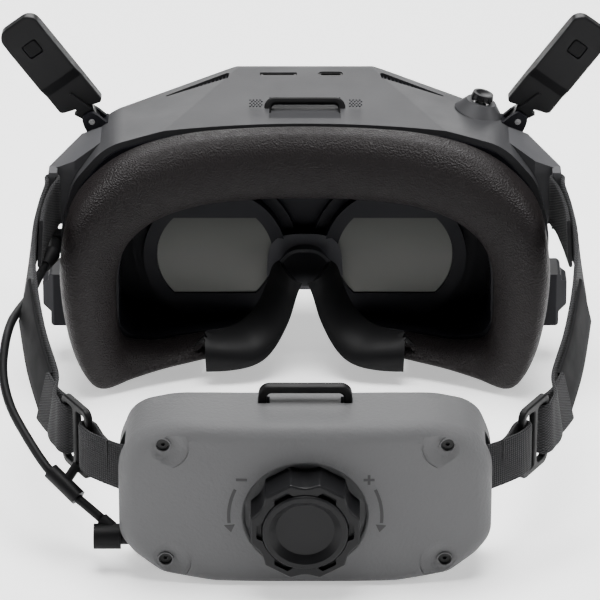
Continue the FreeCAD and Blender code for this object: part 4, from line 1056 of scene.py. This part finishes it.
def puffed(piece, voxel, pressure, keep_below):
    """Inflates a cushion as sewn cloth: remeshed evenly, blown up by cloth simulation, then smoothed."""
    remesh = piece.modifiers.new("even", "REMESH")
    remesh.mode, remesh.voxel_size = "VOXEL", voxel
    finish_mesh(piece)
    held = piece.vertex_groups.new(name="held")
    for vertex in piece.data.vertices:
        held.add([vertex.index], 1.0 if keep_below(vertex.co) else 0.0, "REPLACE")
    rest = [v.co.copy() for v in piece.data.vertices]
    cloth = piece.modifiers.new("cloth", "CLOTH")
    cloth.settings.use_pressure = True
    cloth.settings.uniform_pressure_force = pressure
    cloth.settings.vertex_group_mass = "held"
    cloth.settings.effector_weights.gravity = 0.0
    cloth.settings.tension_stiffness = 40
    cloth.settings.compression_stiffness = 40
    for number in range(1, SETTLING_FRAMES + 1):
        bpy.context.scene.frame_set(number)
    finish_mesh(piece)
    bpy.context.scene.frame_set(1)
    for vertex, start in zip(piece.data.vertices, rest):
        moved = vertex.co - start
        if moved.length > PUFF_LIMIT:
            vertex.co = start + moved.normalized() * PUFF_LIMIT
    smooth = piece.modifiers.new("soft", "SMOOTH")
    smooth.factor, smooth.iterations = 0.5, 6
    finer = piece.modifiers.new("fine", "SUBSURF")
    finer.levels = finer.render_levels = 1
    finish_mesh(piece)
    for polygon in piece.data.polygons:
        polygon.use_smooth = True
    return piece


class GOGGLES_OT_head_pad(bpy.types.Operator):
    """Makes the cushion between the battery pack and the back of the head"""
    bl_idname = "goggles.head_pad"
    bl_label = "Head pad"

    def execute(self, context):
        plain = frame["nodes"]["head_pad"]
        pad = new_object("head_pad_cushion", plain.data.copy())
        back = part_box("head_pad")[0][1]
        puffed(pad, 0.0028, 2.5, lambda place: place.y < back + 0.004)
        paint(pad, MATERIALS["pad_foam"])
        fitted(pad, "pack", "head_pad", slot="pad_foam")
        return {"FINISHED"}


# ------------------------------------------------------------------ straps
def strap_mesh(name, centres, height, thickness, leans=None, tilts=None):
    """A woven band on edge that follows its centre points, with rounded edges and a UV map in metres.
    At each point it may lean back and tilt inwards, both in degrees."""
    half_h, half_t = height / 2, thickness / 2
    profile = [(half_t, -half_h + half_t), (half_t, -half_h / 2), (half_t, 0), (half_t, half_h / 2),
               (half_t, half_h - half_t), (half_t * 0.7, half_h - half_t * 0.3), (0, half_h),
               (-half_t * 0.7, half_h - half_t * 0.3), (-half_t, half_h - half_t), (-half_t, half_h / 2),
               (-half_t, 0), (-half_t, -half_h / 2), (-half_t, -half_h + half_t),
               (-half_t * 0.7, -half_h + half_t * 0.3), (0, -half_h), (half_t * 0.7, -half_h + half_t * 0.3)]
    around = len(profile)
    walked = [0.0]
    for a, b in zip(profile, profile[1:] + profile[:1]):
        walked.append(walked[-1] + math.dist(a, b))
    points, faces, uvs = [], [], []
    last = len(centres) - 1
    reach = 0.0
    reaches = []
    for i, c in enumerate(centres):
        if i:
            reach += (c - centres[i - 1]).length
        reaches.append(reach)
        along = centres[min(i + 1, last)] - centres[max(i - 1, 0)]
        level = Vector((along.x, along.y, 0)).normalized()
        across = Vector((-level.y, level.x, 0))
        lean = math.radians(leans[i]) if leans else 0.0
        tilt = math.radians(tilts[i]) if tilts else 0.0
        up = Vector((-math.sin(tilt), -math.sin(lean), math.cos(lean) * math.cos(tilt)))
        for a, b in profile:
            points.append(c + across * a + up * b)
    for i in range(last):
        for k in range(around):
            n = (k + 1) % around
            faces.append((i * around + k, i * around + n, (i + 1) * around + n, (i + 1) * around + k))
            uvs.append([(reaches[i], walked[k]), (reaches[i], walked[k + 1]),
                        (reaches[i + 1], walked[k + 1]), (reaches[i + 1], walked[k])])
    first, end = tuple(reversed(range(around))), tuple(range(last * around, (last + 1) * around))
    for cap in (first, end):
        faces.append(cap)
        uvs.append([(0.0, walked[k % around]) for k in range(around)])
    band = mesh_object(name, points, faces, uvs)
    return crease_by_angle(outwards(band), 50)


SIDE_STRAP = [(98.6, 60.9, 73.5), (102.2, 45.0, 70.0), (104.8, 22.0, 65.8), (103.8, -2.6, 61.0),
              (99.2, -35.0, 55.2), (93.2, -62.0, 50.0), (88.6, -79.2, 46.9)]
SIDE_STRAP_LEAN = 13.0
REAR_STRAP = [(77.9, -97.2, 44.6, 0.0), (73.4, -101.2, 43.0, 3.0), (67.5, -104.3, 41.7, 5.0),
              (60.5, -106.3, 41.4, 5.0), (52.2, -107.6, 41.3, 5.0)]
ARM_BAR = (98.6, 62.5)
BUCKLE = (83.6, -88.0, 46.0)
BUCKLE_TURN = math.radians(58.0)


def metres(route):
    return [tuple(at(*p[:3])) for p in route]


def by_buckle(along, out, height):
    """A place beside the right-hand buckle: along its width, out from its face, and its height."""
    c, s = math.cos(BUCKLE_TURN), math.sin(BUCKLE_TURN)
    return BUCKLE[0] + along * c + out * s, BUCKLE[1] + along * s - out * c, height


def side_strap_path():
    """Round the arm's bar, along the head and round the buckle's front bar, with both ends folded back."""
    x, y = ARM_BAR
    front = [(102.3, 34.0, 68.0), (101.0, 45.0, 70.2), (98.6, 56.0, 72.6), (x - 2.1, y - 2.0, 74.0),
             (x - 2.2, y + 0.9, 74.4), (x, y + 2.1, 74.5), (x + 2.2, y + 0.9, 74.3), (x + 1.9, y - 3.0, 73.6)]
    along = [(x + 0.8, y, z) for x, y, z in SIDE_STRAP[1:-1]]
    rear = [by_buckle(17.0, 0.9, 47.8), by_buckle(11.4, 2.1, 47.2), by_buckle(8.3, 2.7, 46.9),
            by_buckle(5.6, 1.6, 46.6), by_buckle(5.2, -0.6, 46.6), by_buckle(6.6, -2.4, 46.8),
            by_buckle(9.4, -2.7, 47.0), by_buckle(13.0, -1.6, 47.4), by_buckle(20.0, -0.9, 48.2),
            by_buckle(29.0, -1.9, 50.0)]
    return front + along + rear


def side_strap_tilt(y):
    """How far the strap's top edge tilts in towards the head, fading out at the arm and at the buckle."""
    return SIDE_STRAP_LEAN * smooth_step((0.052 - y) / 0.05) * smooth_step((y + 0.088) / 0.03)


def rear_strap_path():
    """Round the buckle's rear bar and into the pack. The fourth value is the lean back, in degrees."""
    start = [(*by_buckle(-19.0, -2.2, 42.6), 2.0), (*by_buckle(-15.0, -2.0, 43.4), 0.0),
             (*by_buckle(-10.6, -2.5, 44.6), 0.0), (*by_buckle(-8.2, -2.7, 45.0), 0.0),
             (*by_buckle(-5.7, -1.7, 45.4), 0.0), (*by_buckle(-5.2, 0.4, 45.4), 0.0),
             (*by_buckle(-6.4, 2.3, 45.2), 0.0), (*by_buckle(-9.4, 2.4, 44.8), 0.0),
             (*by_buckle(-13.6, 1.0, 43.8), 0.0)]
    return start + REAR_STRAP[2:]


class GOGGLES_OT_side_straps(bpy.types.Operator):
    """Makes the two side straps of woven webbing and their fold-back tabs"""
    bl_idname = "goggles.side_straps"
    bl_label = "Side straps"

    def execute(self, context):
        sizes = context.scene.goggle_sizes
        centres = even_curve(metres(side_strap_path()), 190)
        tilts = [side_strap_tilt(c.y) for c in centres]
        strap = strap_mesh("side_strap_right_webbing", centres, sizes.webbing_height, sizes.webbing_thickness,
                           tilts=tilts)
        other = mirror_piece(strap, "side_strap_left_webbing")
        for piece, node in ((strap, "side_strap_right"), (other, "side_strap_left")):
            paint(piece, MATERIALS["webbing"])
            fitted(piece, "goggles", node, slot="webbing")
        tab_route = even_curve(metres([(x + 2.9, y, z) for x, y, z in SIDE_STRAP[3:6]]), 30)
        tab = strap_mesh("strap_tab_right_piece", tab_route, sizes.webbing_height - 0.001, 0.0012,
                         tilts=[side_strap_tilt(c.y) for c in tab_route])
        tabs = [tab, mirror_piece(tab, "strap_tab_left_piece")]
        for piece in tabs:
            paint(piece, MATERIALS["tab_cloth"])
            fitted(piece, "goggles", slot="webbing")
        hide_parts("strap_tabs")
        return {"FINISHED"}


class GOGGLES_OT_rear_straps(bpy.types.Operator):
    """Makes the two elastic straps between the buckles and the battery pack"""
    bl_idname = "goggles.rear_straps"
    bl_label = "Rear straps"

    def execute(self, context):
        sizes = context.scene.goggle_sizes
        count = 90
        path = rear_strap_path()
        centres = even_curve(metres(path), count)
        leans = [spline([(p[3],) for p in path], i / count)[0] for i in range(count + 1)]
        strap = strap_mesh("rear_strap_right_elastic", centres, 0.0185, sizes.webbing_thickness, leans)
        other = mirror_piece(strap, "rear_strap_left_elastic")
        for piece, node, side in ((strap, "rear_strap_right", 1), (other, "rear_strap_left", -1)):
            paint(piece, MATERIALS["elastic"])
            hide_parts(node)
            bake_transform(piece)
        return {"FINISHED"}


# ------------------------------------------------------------------ finishes on the frame
# The strap arms' lighter plastic is a painted reflection.
OWN_FINISH = {"strap_arm_left": "arm_plastic_painted_reflection", "strap_arm_right": "arm_plastic_painted_reflection",
              "usb_socket": "screw_steel", "card_slot": "screw_steel"}


class GOGGLES_OT_finishes(bpy.types.Operator):
    """Gives every mechanical piece of the frame its finish"""
    bl_idname = "goggles.finishes"
    bl_label = "Finishes"

    def execute(self, context):
        slots = {row["node"]: row["material_slot"] for row in frame["record"]["subparts"]}
        for node, piece in frame["nodes"].items():
            paint(piece, MATERIALS[OWN_FINISH.get(node, slots[node])])
        return {"FINISHED"}


class GOGGLES_PT_maker(bpy.types.Panel):
    """Lists the steps that make the goggles"""
    bl_idname = "GOGGLES_PT_maker"
    bl_label = "Drone Goggles Maker"
    bl_space_type = "VIEW_3D"
    bl_region_type = "UI"
    bl_category = "Goggles"

    def draw(self, context):
        for group in (context.scene.goggle_sizes, context.scene.goggle_colours):
            for key in group.__annotations__:
                self.layout.prop(group, key)
        for step in STEPS:
            self.layout.operator(step.bl_idname)


STEPS = (GOGGLES_OT_stage, GOGGLES_OT_lead, GOGGLES_OT_finishes, GOGGLES_OT_face_pad, GOGGLES_OT_nose,
         GOGGLES_OT_trims, GOGGLES_OT_pack_shell, GOGGLES_OT_head_pad, GOGGLES_OT_side_straps,
         GOGGLES_OT_rear_straps)
GROUPS = (GoggleColours, GoggleSizes)


def register():
    for kind in GROUPS + STEPS + (GOGGLES_PT_maker,):
        bpy.utils.register_class(kind)
    bpy.types.Scene.goggle_colours = bpy.props.PointerProperty(type=GoggleColours)
    bpy.types.Scene.goggle_sizes = bpy.props.PointerProperty(type=GoggleSizes)


def unregister():
    del bpy.types.Scene.goggle_sizes
    del bpy.types.Scene.goggle_colours
    for kind in reversed(GROUPS + STEPS + (GOGGLES_PT_maker,)):
        bpy.utils.unregister_class(kind)


def main():
    register()
    make_materials()
    for step in STEPS:
        family, name = step.bl_idname.split(".")
        getattr(getattr(bpy.ops, family), name)()


if __name__ == "__main__":
    main()
